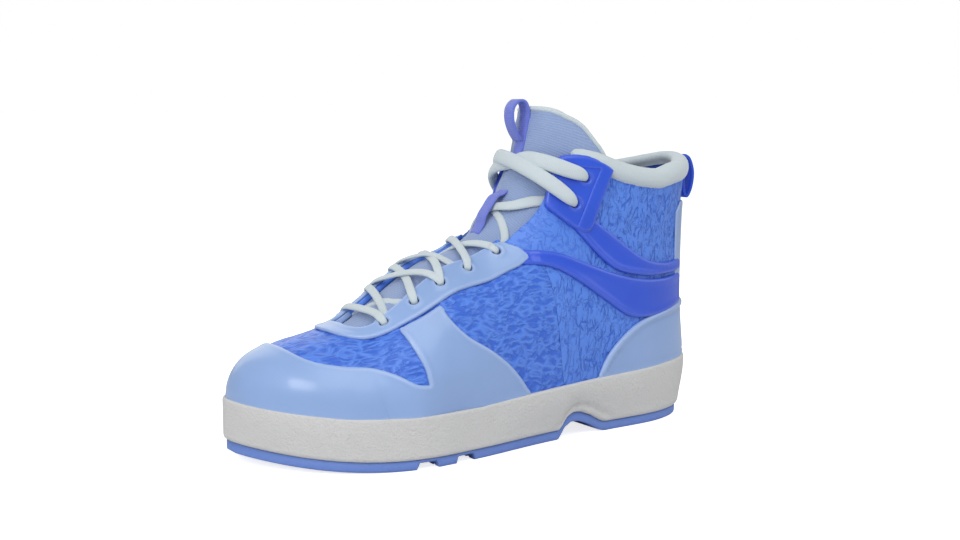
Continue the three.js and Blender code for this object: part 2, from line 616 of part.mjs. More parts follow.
// ---------------------------------------------------------------- tongue, collar and tabs
function tongueFace(station, angle) {
  const degrees = Math.abs(THREE.MathUtils.radToDeg(angle));
  const wing = smooth(degrees, 8, 17);
  const toeEnd = 1 - smooth(station, 4.7, 5.3);
  return TONGUE_FACE - TONGUE_WING_DROP * Math.max(wing, toeEnd);
}
const tongueBack = (station, angle) => tongueFace(station, angle) - TONGUE_THICKNESS;
const TONGUE_REACH = [[4, 20], [6, 30], [9, 40], [11, 52], [13, 64], [16, 74]]; // station, degrees
function tongueField(cutLine) {
  return (p, station, angle) => {
    const width = alongTable(TONGUE_REACH, station) - Math.abs(THREE.MathUtils.radToDeg(angle));
    return Math.min(tongueSide(p), width, cutLine(p));
  };
}

const LOOSE = 0.55; // air round the laces and loops

const COLLAR = [ // x, z and half height of the padded roll, from the ankle plate back
  [61, 162, 2.4], [50, 157.5, 4.6], [36, 152.2, 5.8], [20, 148.8, 6.3], [4, 147, 6.3], [-13, 148.8, 6.2],
];
const COLLAR_BACK = { z: 152, half: 6 };
const COLLAR_DEPTH = -3.4; // of the roll's middle under the surface
const COLLAR_THICK = 2.9; // half of its thickness
function collarRoll() {
  const side = (sign) => COLLAR.map(([x, z, half]) => {
    const [station, degrees] = locate(x, z, sign);
    return [station, degrees, COLLAR_DEPTH, half, Math.min(half, COLLAR_THICK)];
  });
  const back = [backStation(COLLAR_BACK.z), 180, COLLAR_DEPTH, COLLAR_BACK.half, COLLAR_THICK];
  const rightSide = side(-1).reverse().map(([s, d, ...rest]) => [s, d + 360, ...rest]);
  return sweep(routeOnLast([...side(1), back, ...rightSide], 2), 8);
}

// A flat band of webbing bent in the shoe's middle plane.
function webbing(points, half, thick) {
  const curve = new THREE.SplineCurve(points.map(([x, z]) => new THREE.Vector2(x, z)));
  const path = curve.getPoints(2 * (points.length - 1)).map((p, k, all) => {
    const [before, after] = [all[Math.max(k - 1, 0)], all[Math.min(k + 1, all.length - 1)]];
    const up = new THREE.Vector3(before.y - after.y, 0, after.x - before.x);
    return { at: new THREE.Vector3(p.x, centreY(p.x, p.y), p.y), up, half, thick };
  });
  return sweep(path, 4, true);
}
const KEEPER = [[8.8, -4.3], [9.05, -2.6], [9.4, 0.9], [10.35, 0.9], [10.75, -2.6], [10.98, -4.3]];
const PULL_LOOP = [
  [84.6, 160], [82.7, 165], [81, 170.5], [79.2, 178], [78.8, 185.5], [80.8, 190.6], [85.2, 191.5],
  [89.2, 187.5], [89.8, 181], [87.4, 174], [84.2, 169.5],
];
const HEEL_TAB = [
  [-35.8, 156], [-39.4, 157.8], [-43.8, 155], [-46.4, 147], [-45.1, 138], [-41.8, 132.4], [-39.2, 135.5],
  [-38.7, 143], [-38.7, 149],
];
const KEEPER_HALF_WIDTH = 4.6;
const PULL_LOOP_HALF_WIDTH = 4.3;
const HEEL_TAB_HALF_WIDTH = 7;

// ---------------------------------------------------------------- the lace
// One continuous lace. Each row is a place on the upper: [station, degrees, offset, half width,
// half thickness].
const THIN = [2.1, 0.8];
const THICK = [3.3, 1.15];
const IN_HOLE = [1.7, 0.9];
const UNDER = -6.7; // between the lining and the wings of the tongue
const OVER = OVERLAY[1] + LOOSE + THIN[1] + 0.7;
const OVER_PLATE = PLATE[1] + LOOSE + THICK[1];
const CROSS_LOW = TONGUE_FACE + LOOSE + THIN[1];
const CROSS_HIGH = CROSS_LOW + 2 * THIN[1] + LOOSE;

// From one eyelet, under the eyestay's edge, across the tongue and down into the next eyelet.
function diagonal([s0, a0], [s1, a1], side, height) {
  const at = (f) => THREE.MathUtils.lerp(s0, s1, f);
  return [
    [s0, side * a0, UNDER, ...IN_HOLE],
    [at(0.14), side * 18.5, UNDER, ...THIN],
    [at(0.28), side * 12, Math.min(height, CROSS_LOW), ...THIN],
    [at(0.5), 0, height, ...THIN],
    [at(0.7), -side * 12, height + 2.6, ...THIN],
    [at(0.82), -side * 17, OVER, ...THIN],
    [s1, -side * (a1 - 3), OVER, ...THIN],
    [s1, -side * a1, OVER, ...IN_HOLE],
  ];
}
function laceEnd(side, heights) {
  const rows = [];
  for (let k = 0; k + 1 < EYELETS.length; k++) {
    const turn = k % 2 ? -side : side;
    rows.push(...diagonal(EYELETS[k], EYELETS[k + 1], turn, heights[k % 2]));
  }
  const last = EYELETS.at(-1);
  const [low, high] = PLATE_EYELETS;
  const lift = heights[0] === CROSS_HIGH ? 3 : 0;
  rows.push(
    [last[0], side * last[1], UNDER, ...IN_HOLE],
    [8.75, side * 20, UNDER - 0.6, ...THIN],
    [9.35, side * 12, CROSS_LOW, ...THIN],
    [9.85, 0, heights[0], ...THIN],
    [10.35, -side * 13, CROSS_LOW, ...THIN],
    [11, -side * 23, UNDER, ...THIN],
    [low[0], -side * low[1], UNDER, ...IN_HOLE],
    [low[0], -side * low[1], OVER_PLATE, ...IN_HOLE],
    [low[0], -side * (low[1] - 5), OVER_PLATE, ...THICK],
    [low[0] + 0.05, -side * 24, OVER_PLATE, ...THICK],
    [low[0] + 0.15, -side * 18, OVER_PLATE - 0.6, ...THICK],
    [12.2, -side * 10, 1 + lift, ...THICK],
    [12.4, 0, -2.2 + lift, ...THICK],
    [12.6, side * 10, 1 + lift, ...THICK],
    [high[0] - 0.25, side * 18, OVER_PLATE - 0.6, ...THICK],
    [high[0] - 0.1, side * 24, OVER_PLATE, ...THICK],
    [high[0], side * (high[1] - 5), OVER_PLATE, ...THICK],
    [high[0], side * high[1], OVER_PLATE, ...IN_HOLE],
    [high[0], side * high[1], UNDER, ...IN_HOLE],
    [high[0] - 0.25, side * (high[1] + 9), UNDER, ...IN_HOLE],
  );
  return rows;
}
const bar = (side) => [
  [EYELETS[0][0], side * EYELETS[0][1], OVER, ...IN_HOLE],
  [EYELETS[0][0], side * (EYELETS[0][1] - 3), OVER, ...THIN],
  [EYELETS[0][0], side * 19, OVER, ...THIN],
];
// Rows of the table as points for sweep, one for one.
const placeRows = (rows) => rows.map(([station, degrees, offset, half, thick]) => ({
  at: onLast(station, degrees, offset), up: lastNormal(station, THREE.MathUtils.degToRad(degrees)), half, thick,
}));
const LATERAL_END = laceEnd(1, [CROSS_LOW, CROSS_HIGH]);
const MEDIAL_END = laceEnd(-1, [CROSS_HIGH, CROSS_LOW]);
const lace = () => sweep(placeRows([
  ...LATERAL_END.toReversed(), ...bar(1), [EYELETS[0][0], 0, 0.9, ...THIN], ...bar(-1).reverse(), ...MEDIAL_END,
]), 6);

function aglet(end) {
  const [station, degrees, offset] = end.at(-1);
  const side = Math.sign(degrees);
  return sweep(placeRows([
    [station - 0.04, degrees + side * 1.5, offset, 1.3, 1.1],
    [station - 0.5, degrees + side * 9, offset, 1.3, 1.1],
  ]), 6);
}

// ---------------------------------------------------------------- the shoe
const shrunk = (field, by) => (p) => field(p) - by;
const before = (x) => (p) => p.x - x;
const behind = (x) => (p) => x - p.x;
const below = (z) => (p) => z - p.z;

const outsideThroat = less(inCup, throatRegion, 0);
const vamp = () => sheet(both(shrunk(vampSide, GAP / 2), outsideThroat), ...SKIN);
const quarter = (sign) =>
  sheet(both(shrunk(quarterSide, GAP / 2), outsideThroat, shrunk(onSide(sign), GAP / 2)), ...SKIN);

const LINING_Z = 31;
const LINING_DROP = 1.5; // of its top edge under the quarter's
const LINING_SETBACK = 11; // from the edge of the throat, so that it clears the eyelets
const liningField = both(shrunk(upperSide, LINING_DROP), less(above(LINING_Z), throatRegion, LINING_SETBACK));

// Stiff boards and foam between the lining and the skin.
const toePuff = both(above(LINING_Z), before(216));
const heelStiffener = both(above(LINING_Z), behind(44), below(78));
const collarFoam = both(above(92), below(138), quarterSide, behind(40));

const EYESTAY_GAP = 1.2; // between the eyestay and the toe overlay's bands
const toeField = both(aboveRim, less(less(toeRegion, eyestayRegion, EYESTAY_GAP), throatRegion));
const backStrip = both(above(72.5), below(130), behind(-13));
const eyeletHoles = punches(EYELETS);
const everyHole = punches([...EYELETS, ...PLATE_EYELETS]);
const eyestay = () =>
  cut(patch(planEdge(EYESTAY_OUTER.toReversed()), planEdge(EYESTAY_INNER), OVERLAY), ...eyeletHoles);
const keeperRows = KEEPER.map(([s, offset]) => [s, 0, offset, KEEPER_HALF_WIDTH, 0.5]);
const keeper = () => sweep(placeRows(keeperRows), 4, true);

const FINISH = {
  light_blue: [0x96b2dc, 0.42],
  grain_blue: [0x4f7fdc, 0.5],
  deep_blue: [0x3a5cd0, 0.38],
  lace: [0xc3d0d6, 0.85],
  mesh: [0x8fa3cc, 0.9],
  loop: [0x7080dc, 0.7],
  midsole: [0xc9caca, 0.75],
  rubber: [0x6480cc, 0.6],
  lining: [0x0f3a8c, 0.9],
  board: [0xb9b4a8, 0.9],
  plastic: [0x2a2f3a, 0.5],
  stiffener: [0xd8d2c4, 0.8],
  foam: [0xe3dfcf, 0.95],
  aglet: [0xc8d4da, 0.3],
};
const shoe = new THREE.Group();
function add(name, finish, geometry) {
  const [color, roughness] = FINISH[finish];
  const mesh = new THREE.Mesh(geometry, new THREE.MeshStandardMaterial({ color, roughness, metalness: 0 }));
  mesh.name = name;
  shoe.add(mesh);
}

add("outsole", "rubber", outsole());
add("midsole", "midsole", midsole());
add("shank_plate", "plastic", shankPlate(0));
add("strobel_board", "board", board(-4, BOARD_Z + GAP, 28.7));
add("sockliner", "lining", board(-7.6, 29.2, 33.5));
add("vamp", "grain_blue", cut(vamp(), ...eyeletHoles));
add("quarter_lateral", "grain_blue", cut(quarter(1), ...everyHole));
add("quarter_medial", "grain_blue", cut(quarter(-1), ...everyHole));
add("lining", "lining", cut(sheet(liningField, ...LINING), ...punches(PLATE_EYELETS)));
add("toe_puff", "stiffener", sheet(toePuff, ...STIFFENER));
add("heel_stiffener", "stiffener", sheet(heelStiffener, ...STIFFENER));
add("collar_foam", "foam", sheet(collarFoam, ...STIFFENER));
add("toe_overlay", "light_blue", sheet(toeField, ...OVERLAY, STEPS.fine));
add("eyestay", "light_blue", eyestay());
add("heel_counter", "light_blue", sheet(both(heelRegion, aboveRim), ...OVERLAY, STEPS.fine));
add("back_strip", "light_blue", sheet(backStrip, ...OVERLAY, STEPS.fine));
for (const [side, sign] of [["lateral", 1], ["medial", -1]]) {
  add(`lower_strap_${side}`, "deep_blue", strap(LOWER_STRAP, sign, OVERLAY));
  add(`upper_strap_${side}`, "deep_blue", strap(UPPER_STRAP, sign, OVERLAY));
  add(`ankle_plate_${side}`, "deep_blue", anklePlate(sign));
}
add("collar_roll", "lace", collarRoll());
add("tongue", "mesh", sheet(tongueField(underFlexLine), tongueBack, tongueFace));
add("tongue_flap", "mesh", sheet(tongueField(overFlexLine), tongueBack, tongueFace));
add("lace_keeper", "loop", keeper());
add("tongue_pull_loop", "loop", webbing(PULL_LOOP, PULL_LOOP_HALF_WIDTH, 0.5));
add("heel_pull_tab", "deep_blue", webbing(HEEL_TAB, HEEL_TAB_HALF_WIDTH, 0.8));
add("lace", "lace", lace());
add("aglet_lateral", "aglet", aglet(LATERAL_END));
add("aglet_medial", "aglet", aglet(MEDIAL_END));

export default shoe;
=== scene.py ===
"""A left-foot basketball high top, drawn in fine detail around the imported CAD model.

Lengths inside the script are millimetres in the CAD's frame: the origin is on the ground under the heel, +X
points to the toe, +Y to the outer side of the foot and +Z up. They become metres when a mesh is made.
"""

import math

import bpy
import numpy as np
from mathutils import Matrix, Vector


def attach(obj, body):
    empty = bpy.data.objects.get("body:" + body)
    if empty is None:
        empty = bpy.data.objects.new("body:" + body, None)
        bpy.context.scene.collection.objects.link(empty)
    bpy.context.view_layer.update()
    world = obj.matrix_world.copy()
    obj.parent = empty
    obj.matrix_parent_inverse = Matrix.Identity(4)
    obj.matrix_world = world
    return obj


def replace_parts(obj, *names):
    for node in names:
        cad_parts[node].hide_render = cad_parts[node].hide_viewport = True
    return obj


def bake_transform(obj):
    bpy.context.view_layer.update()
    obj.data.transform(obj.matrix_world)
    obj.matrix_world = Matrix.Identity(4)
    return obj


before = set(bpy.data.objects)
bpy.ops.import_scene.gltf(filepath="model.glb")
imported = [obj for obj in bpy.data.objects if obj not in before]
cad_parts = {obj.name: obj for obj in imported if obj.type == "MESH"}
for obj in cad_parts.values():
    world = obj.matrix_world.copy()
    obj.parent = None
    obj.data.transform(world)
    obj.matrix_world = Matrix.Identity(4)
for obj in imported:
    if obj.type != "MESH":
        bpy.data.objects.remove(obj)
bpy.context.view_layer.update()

MM = 0.001
LATERAL, MEDIAL = 1, -1
MIRROR = ((LATERAL, "lateral"), (MEDIAL, "medial"))

# ---------------------------------------------------------------- driving dimensions
# Heights and depths are measured from the outer face of the skin.
SKIN_THICKNESS = 1.3
OVERLAY_HEIGHT = 1.5
OVERLAY_EDGE = 1.7  # width of an overlay's rounded edge
EYESTAY_HEIGHT = 1.8
STRIP_HEIGHT = 0.9
STRAP_HEIGHT = 2.0
PLATE_HEIGHT = 2.9
ON_SKIN = 0.1  # gap between the skin and an overlay
LINING_DEPTH, LINING_THICKNESS = 4.4, 1.0
TONGUE_FACE, TONGUE_THICKNESS = -3.6, 4.2
TONGUE_WING_DROP, TONGUE_TOE_DROP = 0.9, 2.0
TREAD = 5.6  # thickness of the outsole
TOE_SPRING, SPRING_START_X, TOE_X = 7.0, 185.0, 262.0
EYELET_RADIUS = 2.5
EYELETS = [(5.5, 27), (6.25, 29), (6.9, 29), (7.6, 26), (8.4, 24)]  # station, degrees
PLATE_EYELETS = [(11.9, 36), (13.0, 36)]

# ---------------------------------------------------------------- the lasted surface
TOE_PIVOT = (195.0, 24.0)
ANKLE_PIVOT = (150.0, 200.0)


def toe_section(lean, reach, half, roundness):
    return (*TOE_PIVOT, lean, reach, 30, half, roundness, 2)


def foot_section(x, z, reach, down, half, roundness, round_down):
    return (x, z, 90, reach, down, half, roundness, round_down)


def ankle_section(lean, distance, front, back, half, roundness, round_back):
    a = math.radians(lean)
    x = ANKLE_PIVOT[0] - distance * math.cos(a)
    z = ANKLE_PIVOT[1] - distance * math.sin(a)
    return (x, z, lean, distance - front, back, half, roundness, round_back)


# Columns: centre x, centre z, lean, reach up, reach down, half width, roundness up, roundness down.
SECTIONS = np.array([
    toe_section(0, 58.2, 47.5, 1.9),
    toe_section(15, 61.8, 47.5, 1.95),
    toe_section(30, 59.8, 48, 2.05),
    toe_section(48, 52.2, 48.5, 2.15),
    toe_section(68, 46.9, 48.5, 2.2),
    foot_section(195, 24, 48.4, 30, 48.5, 2.2, 2),
    foot_section(174, 36, 50.5, 32, 49.5, 2.1, 2.5),
    foot_section(150, 48, 55, 42, 46.5, 2.05, 3),
    ankle_section(75, 150, 92, 60, 42, 2.05, 3),
    ankle_section(60, 150, 85.5, 95, 38.5, 2.1, 3),
    ankle_section(52, 150, 82, 108, 37.5, 2.2, 3),
    ankle_section(45, 150, 78.5, 106, 36, 2.3, 2.6),
    ankle_section(38, 149, 76, 81, 35.5, 2.4, 2.3),
    ankle_section(30, 147, 74, 63, 34.5, 2.5, 2.2),
    ankle_section(20, 144, 71.5, 51, 34.5, 2.6, 2.1),
    ankle_section(10, 142, 70, 47, 35, 2.6, 2.1),
    ankle_section(0, 140, 69, 45, 35.5, 2.6, 2.1),
], float)
LAST_STATION = len(SECTIONS) - 1
CENTRE_LINE = np.array([
    (-40, 0), (20, 3.5), (90, 4.5), (140, 4), (178, 2), (212, -3), (238, -10), (262, -18),
], float)


def smooth(v, low, high):
    u = np.clip((v - low) / (high - low), 0, 1)
    return u * u * (3 - 2 * u)


def centre_y(x, z):
    return np.interp(x, *CENTRE_LINE.T) * (1 - 0.75 * smooth(z, 50, 120))


def catmull_rom(p0, p1, p2, p3, f):
    """The smooth curve from p1 to p2 at the share f."""
    cubic = 3 * (p1 - p2) + p3 - p0
    return p1 + 0.5 * f * (p2 - p0 + f * (2 * p0 - 5 * p1 + 4 * p2 - p3 + f * cubic))


def between_rows(rows, t):
    """A smooth curve through the rows of a table, at fractional row numbers."""
    rows = np.vstack([2 * rows[0] - rows[1], rows, 2 * rows[-1] - rows[-2]])
    i = np.clip(np.floor(t).astype(int), 0, len(rows) - 4)
    return catmull_rom(rows[i], rows[i + 1], rows[i + 2], rows[i + 3], (t - i)[..., None])


def last_point(t, angle):
    """Points of the lasted surface. Angle 0 is the top or front, +90 degrees lateral, 180 sole or heel."""
    t, angle = np.broadcast_arrays(np.asarray(t, float), np.asarray(angle, float))
    x, z, lean, up, down, half, n_up, n_down = np.moveaxis(between_rows(SECTIONS, t), -1, 0)
    c, s = np.cos(angle), np.sin(angle)
    reach = np.where(c >= 0, up, down)
    n = np.where(c >= 0, n_up, n_down)
    r = (np.abs(c / reach) ** n + np.abs(s / half) ** n) ** (-1 / n)
    lean = np.radians(lean)
    px = x + r * c * np.cos(lean)
    pz = z + r * c * np.sin(lean)
    return np.stack([px, r * s + centre_y(px, pz), pz], -1)


def last_normal(t, angle):
    t = np.clip(t, 0.02, LAST_STATION - 0.02)
    along = last_point(t + 0.02, angle) - last_point(t - 0.02, angle)
    around = last_point(t, angle + 0.01) - last_point(t, angle - 0.01)
    n = np.cross(around, along)
    return n / np.maximum(np.linalg.norm(n, axis=-1, keepdims=True), 1e-9)


def on_last(t, degrees, offset):
    a = np.radians(degrees)
    return last_point(t, a) + last_normal(t, a) * np.asarray(offset, float)[..., None]


HALF_GIRTH = 125  # about the length of a section's outline from its top to its lowest point


def run_of(path):
    """Length along a path up to each of its points."""
    return np.concatenate([[0], np.cumsum(np.linalg.norm(np.diff(path, axis=0), axis=1))])


class Lattice:
    """A fine grid over a window of the surface, evenly spaced by arc length. A share of 0 is the top of a
    section, 1 its lowest or rearmost point, and beyond 1 it runs on up the other side."""

    def __init__(self, stations, shares, step):
        t = np.linspace(*stations, 400)
        middle = self.angles(t, np.full(1, (shares[0] + shares[1]) / 2))[:, 0]
        length = run_of(last_point(t, middle))
        rows = max(int(length[-1] / step), 8)
        self.t = np.interp(np.linspace(0, length[-1], rows), length, t)
        columns = max(int((shares[1] - shares[0]) * HALF_GIRTH / step), 8)
        shares = np.linspace(*shares, columns)
        self.angle = self.angles(self.t, shares)
        self.station = np.repeat(self.t[:, None], columns, 1)
        self.p = last_point(self.station, self.angle)
        self.n = last_normal(self.station, self.angle)

    @staticmethod
    def angles(t, shares):
        half = np.linspace(0, np.pi, 91)
        p = last_point(np.asarray(t)[:, None], half[None, :])
        steps = np.linalg.norm(np.diff(p, axis=1), axis=2)
        lengths = np.concatenate([np.zeros((len(p), 1)), np.cumsum(steps, axis=1)], axis=1)
        lengths /= lengths[:, -1:]
        turns = np.round(shares / 2)
        rest = shares - 2 * turns
        rows = [np.interp(np.abs(rest), row, half) * np.sign(rest) + 2 * np.pi * turns for row in lengths]
        return np.array(rows)


def sample(grid, at):
    """Bilinear value of a grid at fractional row and column numbers."""
    rows, columns = grid.shape[:2]
    i = np.clip(at[:, 0], 0, rows - 1.001)
    j = np.clip(at[:, 1], 0, columns - 1.001)
    i0, j0 = i.astype(int), j.astype(int)
    f, g = i - i0, j - j0
    if grid.ndim == 3:
        f, g = f[:, None], g[:, None]
    low = grid[i0, j0] * (1 - g) + grid[i0, j0 + 1] * g
    high = grid[i0 + 1, j0] * (1 - g) + grid[i0 + 1, j0 + 1] * g
    return low * (1 - f) + high * f


# ---------------------------------------------------------------- regions
def spline(points, per_span=8):
    """A smooth curve through points; two points or fewer stay as they are."""
    points = np.array(points, float)
    if len(points) < 3:
        return points
    return between_rows(points, np.linspace(0, len(points) - 1, per_span * (len(points) - 1) + 1))


def outline(*stretches):
    points = np.vstack([spline(stretch) for stretch in stretches])
    keep = np.linalg.norm(points - np.roll(points, -1, axis=0), axis=1) > 1e-6
    return points[keep]


def inside(points, a, b):
    """Signed distance to an outline, positive inside it."""
    shape = a.shape
    a, b = a.ravel(), b.ravel()
    best = np.full(a.shape, np.inf)
    within = np.zeros(a.shape, bool)
    for (px, py), (qx, qy) in zip(points, np.roll(points, -1, axis=0)):
        ex, ey = qx - px, qy - py
        f = np.clip(((a - px) * ex + (b - py) * ey) / (ex * ex + ey * ey), 0, 1)
        best = np.minimum(best, np.hypot(a - px - ex * f, b - py - ey * f))
        if ey != 0:
            within ^= ((py > b) != (qy > b)) & (a < ex * (b - py) / ey + px)
    return np.where(within, best, -best).reshape(shape)


# A region is a function of a grid that is positive inside it, by about its distance to the border.
def side_view(points):
    return lambda g: inside(points, g.p[..., 0], g.p[..., 2])


def plan_view(points):
    return lambda g: inside(points, g.p[..., 0], np.abs(off_centre(g.p)))


def off_centre(p):
    """Signed distance of points from the shoe's centre line, positive on the lateral side."""
    return p[..., 1] - centre_y(p[..., 0], p[..., 2])


def toward(side):
    return lambda g: side * off_centre(g.p)


def both(*fields):
    return lambda g: np.minimum.reduce([f(g) for f in fields])


def less(field, *cuts, gap=0.0):
    return lambda g: np.minimum.reduce([field(g)] + [-cut(g) - gap for cut in cuts])


def above(height):
    return lambda g: g.p[..., 2] - height


def ahead_of(x):
    return lambda g: g.p[..., 0] - x


def behind(x):
    return lambda g: x - g.p[..., 0]


def eyelet_centres(places):
    return [last_point(t, math.radians(side * d)) for t, d in places for side in (LATERAL, MEDIAL)]


def nearest_eyelet(places, points):
    return np.minimum.reduce([np.linalg.norm(points - c, axis=-1) for c in eyelet_centres(places)])


def eyelet_holes(places, radius):
    return lambda g: radius - nearest_eyelet(places, g.p)


# The midsole's rim from the side: x, z.
RIM = np.array([
    (-36, 37), (5, 35), (55, 33.5), (105, 31), (140, 28.5), (185, 28.5), (218, 30), (245, 33), (262, 35),
])


def rim_z(x):
    return np.interp(x, *RIM.T)


def above_rim(below):
    """Down to a distance below the midsole's rim."""
    return lambda g: g.p[..., 2] - rim_z(g.p[..., 0]) + below


# Outlines in plan are (x, distance from the centre line); those seen from the side are (x, z).
THROAT_INNER = [
    (104, 22.5), (112, 18.5), (124, 17.5), (145, 18), (180, 18.5), (192, 17), (198, 10), (198.6, 0),
]
EYESTAY_INNER = [(98, 30), (101.5, 27), (106, 24), (111, 20.5), *THROAT_INNER[2:]]
EYESTAY_OUTER = [
    (209, 0), (207, 13), (200, 22.5), (188.5, 27.8), (176, 31.3), (159, 33), (128, 31), (114, 30.6),
    (104.5, 31), (98, 30.6),
]
eyestay_plan = plan_view(outline(EYESTAY_OUTER, EYESTAY_INNER, [(198.6, -5)], [(209, -5)]))
throat = plan_view(outline([(104, -5)], THROAT_INNER, [(198.6, -5)]))

INSTEP_Z = 50  # what lies lower in plan is the sole's underside
eyestay_area = both(eyestay_plan, above(INSTEP_Z))

SEAM = [(78, 15), (83, 45), (85.5, 75), (88, 95), (97, 106), (110, 111.5)]
QUARTER_FRONT = [(110, 111.5), (98, 120), (89, 128), (83, 136), (79, 146), (74, 156)]
QUARTER_TOP = [(74, 157), (52, 153), (35, 149), (15, 145), (-5, 144), (-25, 146), (-50, 148)]
FRONT_CORNERS = [[(300, 15)], [(300, 200)], [(110, 200)]]
vamp_area = side_view(outline(SEAM, *FRONT_CORNERS[::-1]))
quarter_area = side_view(outline(SEAM, QUARTER_FRONT, QUARTER_TOP, [(-60, 148)], [(-60, 15)]))

TOE_EDGE = [(238, 76), (236, 66), (228, 58), (214, 55), (201, 54), (190, 50.5), (181, 45.5), (174.5, 44.5)]
BAND_FRONT = [(174.5, 44.5), (175.5, 52), (179, 63), (182, 75), (184, 92)]
BAND_BACK = [(160, 92), (158, 83), (155, 75), (147, 66.5), (133, 58), (119, 47), (106, 31), (100, 15)]
toe_area = side_view(outline(TOE_EDGE, BAND_FRONT, BAND_BACK, [(280, 15)], [(280, 76)]))

HEEL_TOP = [(-50, 72), (-20, 70.5), (6, 67), (24, 62.5), (38, 55), (49, 45), (55, 34), (59, 20)]
heel_area = side_view(outline(HEEL_TOP, [(59, 5)], [(-50, 5)]))
LOWER_TOP = [(99, 108.5), (82, 107), (64, 100.5), (41, 92.5), (21, 88), (2, 86.8), (-18, 88)]
LOWER_BOTTOM = [(-18, 70), (-2, 66.5), (15, 65), (32, 67), (47, 76), (67, 89), (85, 98.5), (107, 102)]
lower_strap_area = side_view(outline(LOWER_TOP, LOWER_BOTTOM))
UPPER_TOP = [(62, 131), (52, 122), (41, 114), (30, 106.5), (20, 100.5), (9, 97), (-4, 95.6), (-18, 96.4)]
UPPER_BOTTOM = [(-18, 90.2), (2, 89), (18, 89.4), (38, 93.6), (51, 102), (62, 113), (72, 124)]
upper_strap_area = side_view(outline(UPPER_TOP, UPPER_BOTTOM))
PLATE_EDGE = [
    [(83, 132), (82.5, 136), (79.8, 144), (76.6, 153), (73.6, 158.6), (70, 160.8), (63, 161.2)],
    [(57, 160.6), (51, 158.6), (43.5, 154.8), (41, 152), (41.8, 149)],
    [(47, 138), (52, 128.5), (56, 120), (59, 117), (63, 116.2)],
    [(70, 120.5), (76, 125.4), (81, 129.6)],
]
plate_area = side_view(outline(*PLATE_EDGE))

STRIP_FRONT_X, STRIP_LOW_Z, STRIP_TOP_Z, STRIP_CORNER = -13, 60, 131, 6


def back_strip_area(g):
    """A strip up the back with cut upper corners."""
    front, top = STRIP_FRONT_X - g.p[..., 0], STRIP_TOP_Z - g.p[..., 2]
    corner = (front + top - STRIP_CORNER) / math.sqrt(2)
    return np.minimum.reduce([front, g.p[..., 2] - STRIP_LOW_Z, top, corner])


# ---------------------------------------------------------------- sheets cut from the surface
NEAR_ZERO = 0.12  # values this small are moved off zero, so that no sliver is cut


def march(values):
    """Clips the grid's triangles at zero. Returns vertices as fractional grid places, and faces."""
    rows, columns = values.shape
    near = np.abs(values) < NEAR_ZERO
    values = np.where(near, np.where(values < 0, -NEAR_ZERO, NEAR_ZERO), values).ravel()
    i, j = np.meshgrid(np.arange(rows - 1), np.arange(columns - 1), indexing="ij")
    a = (i * columns + j).ravel()
    b, c, d = a + 1, a + columns + 1, a + columns
    inner = values > 0
    whole = inner[a] & inner[b] & inner[c] & inner[d]
    quads = np.stack([a, b, c, d], 1)[whole]
    part = ~whole
    triangles = np.concatenate([np.stack([a, c, d], 1)[part], np.stack([a, b, c], 1)[part]])
    count = inner[triangles].sum(1)
    full = triangles[count == 3]

    def rotated(chosen, flag):
        turn = np.argmax(inner[chosen] == flag, axis=1)
        return np.stack([chosen[np.arange(len(chosen)), (turn + k) % 3] for k in range(3)], 1)

    one = rotated(triangles[count == 1], True)
    two = rotated(triangles[count == 2], False)
    total = rows * columns
    pairs = np.concatenate([one[:, [0, 1]], one[:, [0, 2]], two[:, [0, 1]], two[:, [0, 2]]])
    low, high = pairs.min(1), pairs.max(1)
    keys, inverse = np.unique(low * total + high, return_inverse=True)
    low, high = keys // total, keys % total
    share = (values[low] / (values[low] - values[high]))[:, None]
    place = lambda k: np.stack([k // columns, k % columns], 1).astype(float)
    cut_places = place(low) * (1 - share) + place(high) * share
    new = total + inverse
    splits = np.cumsum([len(one), len(one), len(two)])
    one_b, one_c, two_b, two_c = np.split(new, splits)
    faces3 = np.concatenate([full, np.stack([one[:, 0], one_b, one_c], 1)])
    faces4 = np.concatenate([quads, np.stack([two_b, two[:, 1], two[:, 2], two_c], 1)])
    places = np.concatenate([place(np.arange(total)), cut_places])
    used = np.unique(np.concatenate([faces3.ravel(), faces4.ravel()]))
    remap = np.full(len(places), -1)
    remap[used] = np.arange(len(used))
    return places[used], remap[faces3], remap[faces4]


def boundary(*face_lists):
    """Directed edges that only one face uses."""
    edges = []
    for faces in face_lists:
        corners = faces.shape[1]
        edges += [faces[:, [k, (k + 1) % corners]] for k in range(corners)]
    edges = np.concatenate(edges)
    top = edges.max() + 1
    forward = edges[:, 0] * top + edges[:, 1]
    backward = edges[:, 1] * top + edges[:, 0]
    return edges[~np.isin(forward, backward)]


def surface_gradient(lattice, field):
    """Length of the field's gradient along the surface, and the grid step that climbs it for a millimetre."""
    fi, fj = np.gradient(field)
    pi, pj = np.gradient(lattice.p, axis=(0, 1))
    e, f, g = (pi * pi).sum(-1), (pi * pj).sum(-1), (pj * pj).sum(-1)
    area = np.maximum(e * g - f * f, 1e-6)
    di = (g * fi - f * fj) / area
    dj = (e * fj - f * fi) / area
    size = np.sqrt(np.maximum(fi * di + fj * dj, 1e-9))
    return size, np.stack([di, dj], -1) / np.maximum(size, 0.05)[..., None]


def edge_levels(rings, round_back):
    """Steps over a rounded edge: how far out each ring lies and at what share of the thickness."""
    for k in range(1, rings + 1):
        turn = np.pi * k / (rings + 1) if round_back else 0.5 * np.pi * k / rings
        level = (1 + np.cos(turn)) / 2 if round_back else max(np.cos(turn), 0.0) ** 0.8
        yield np.sin(turn), level


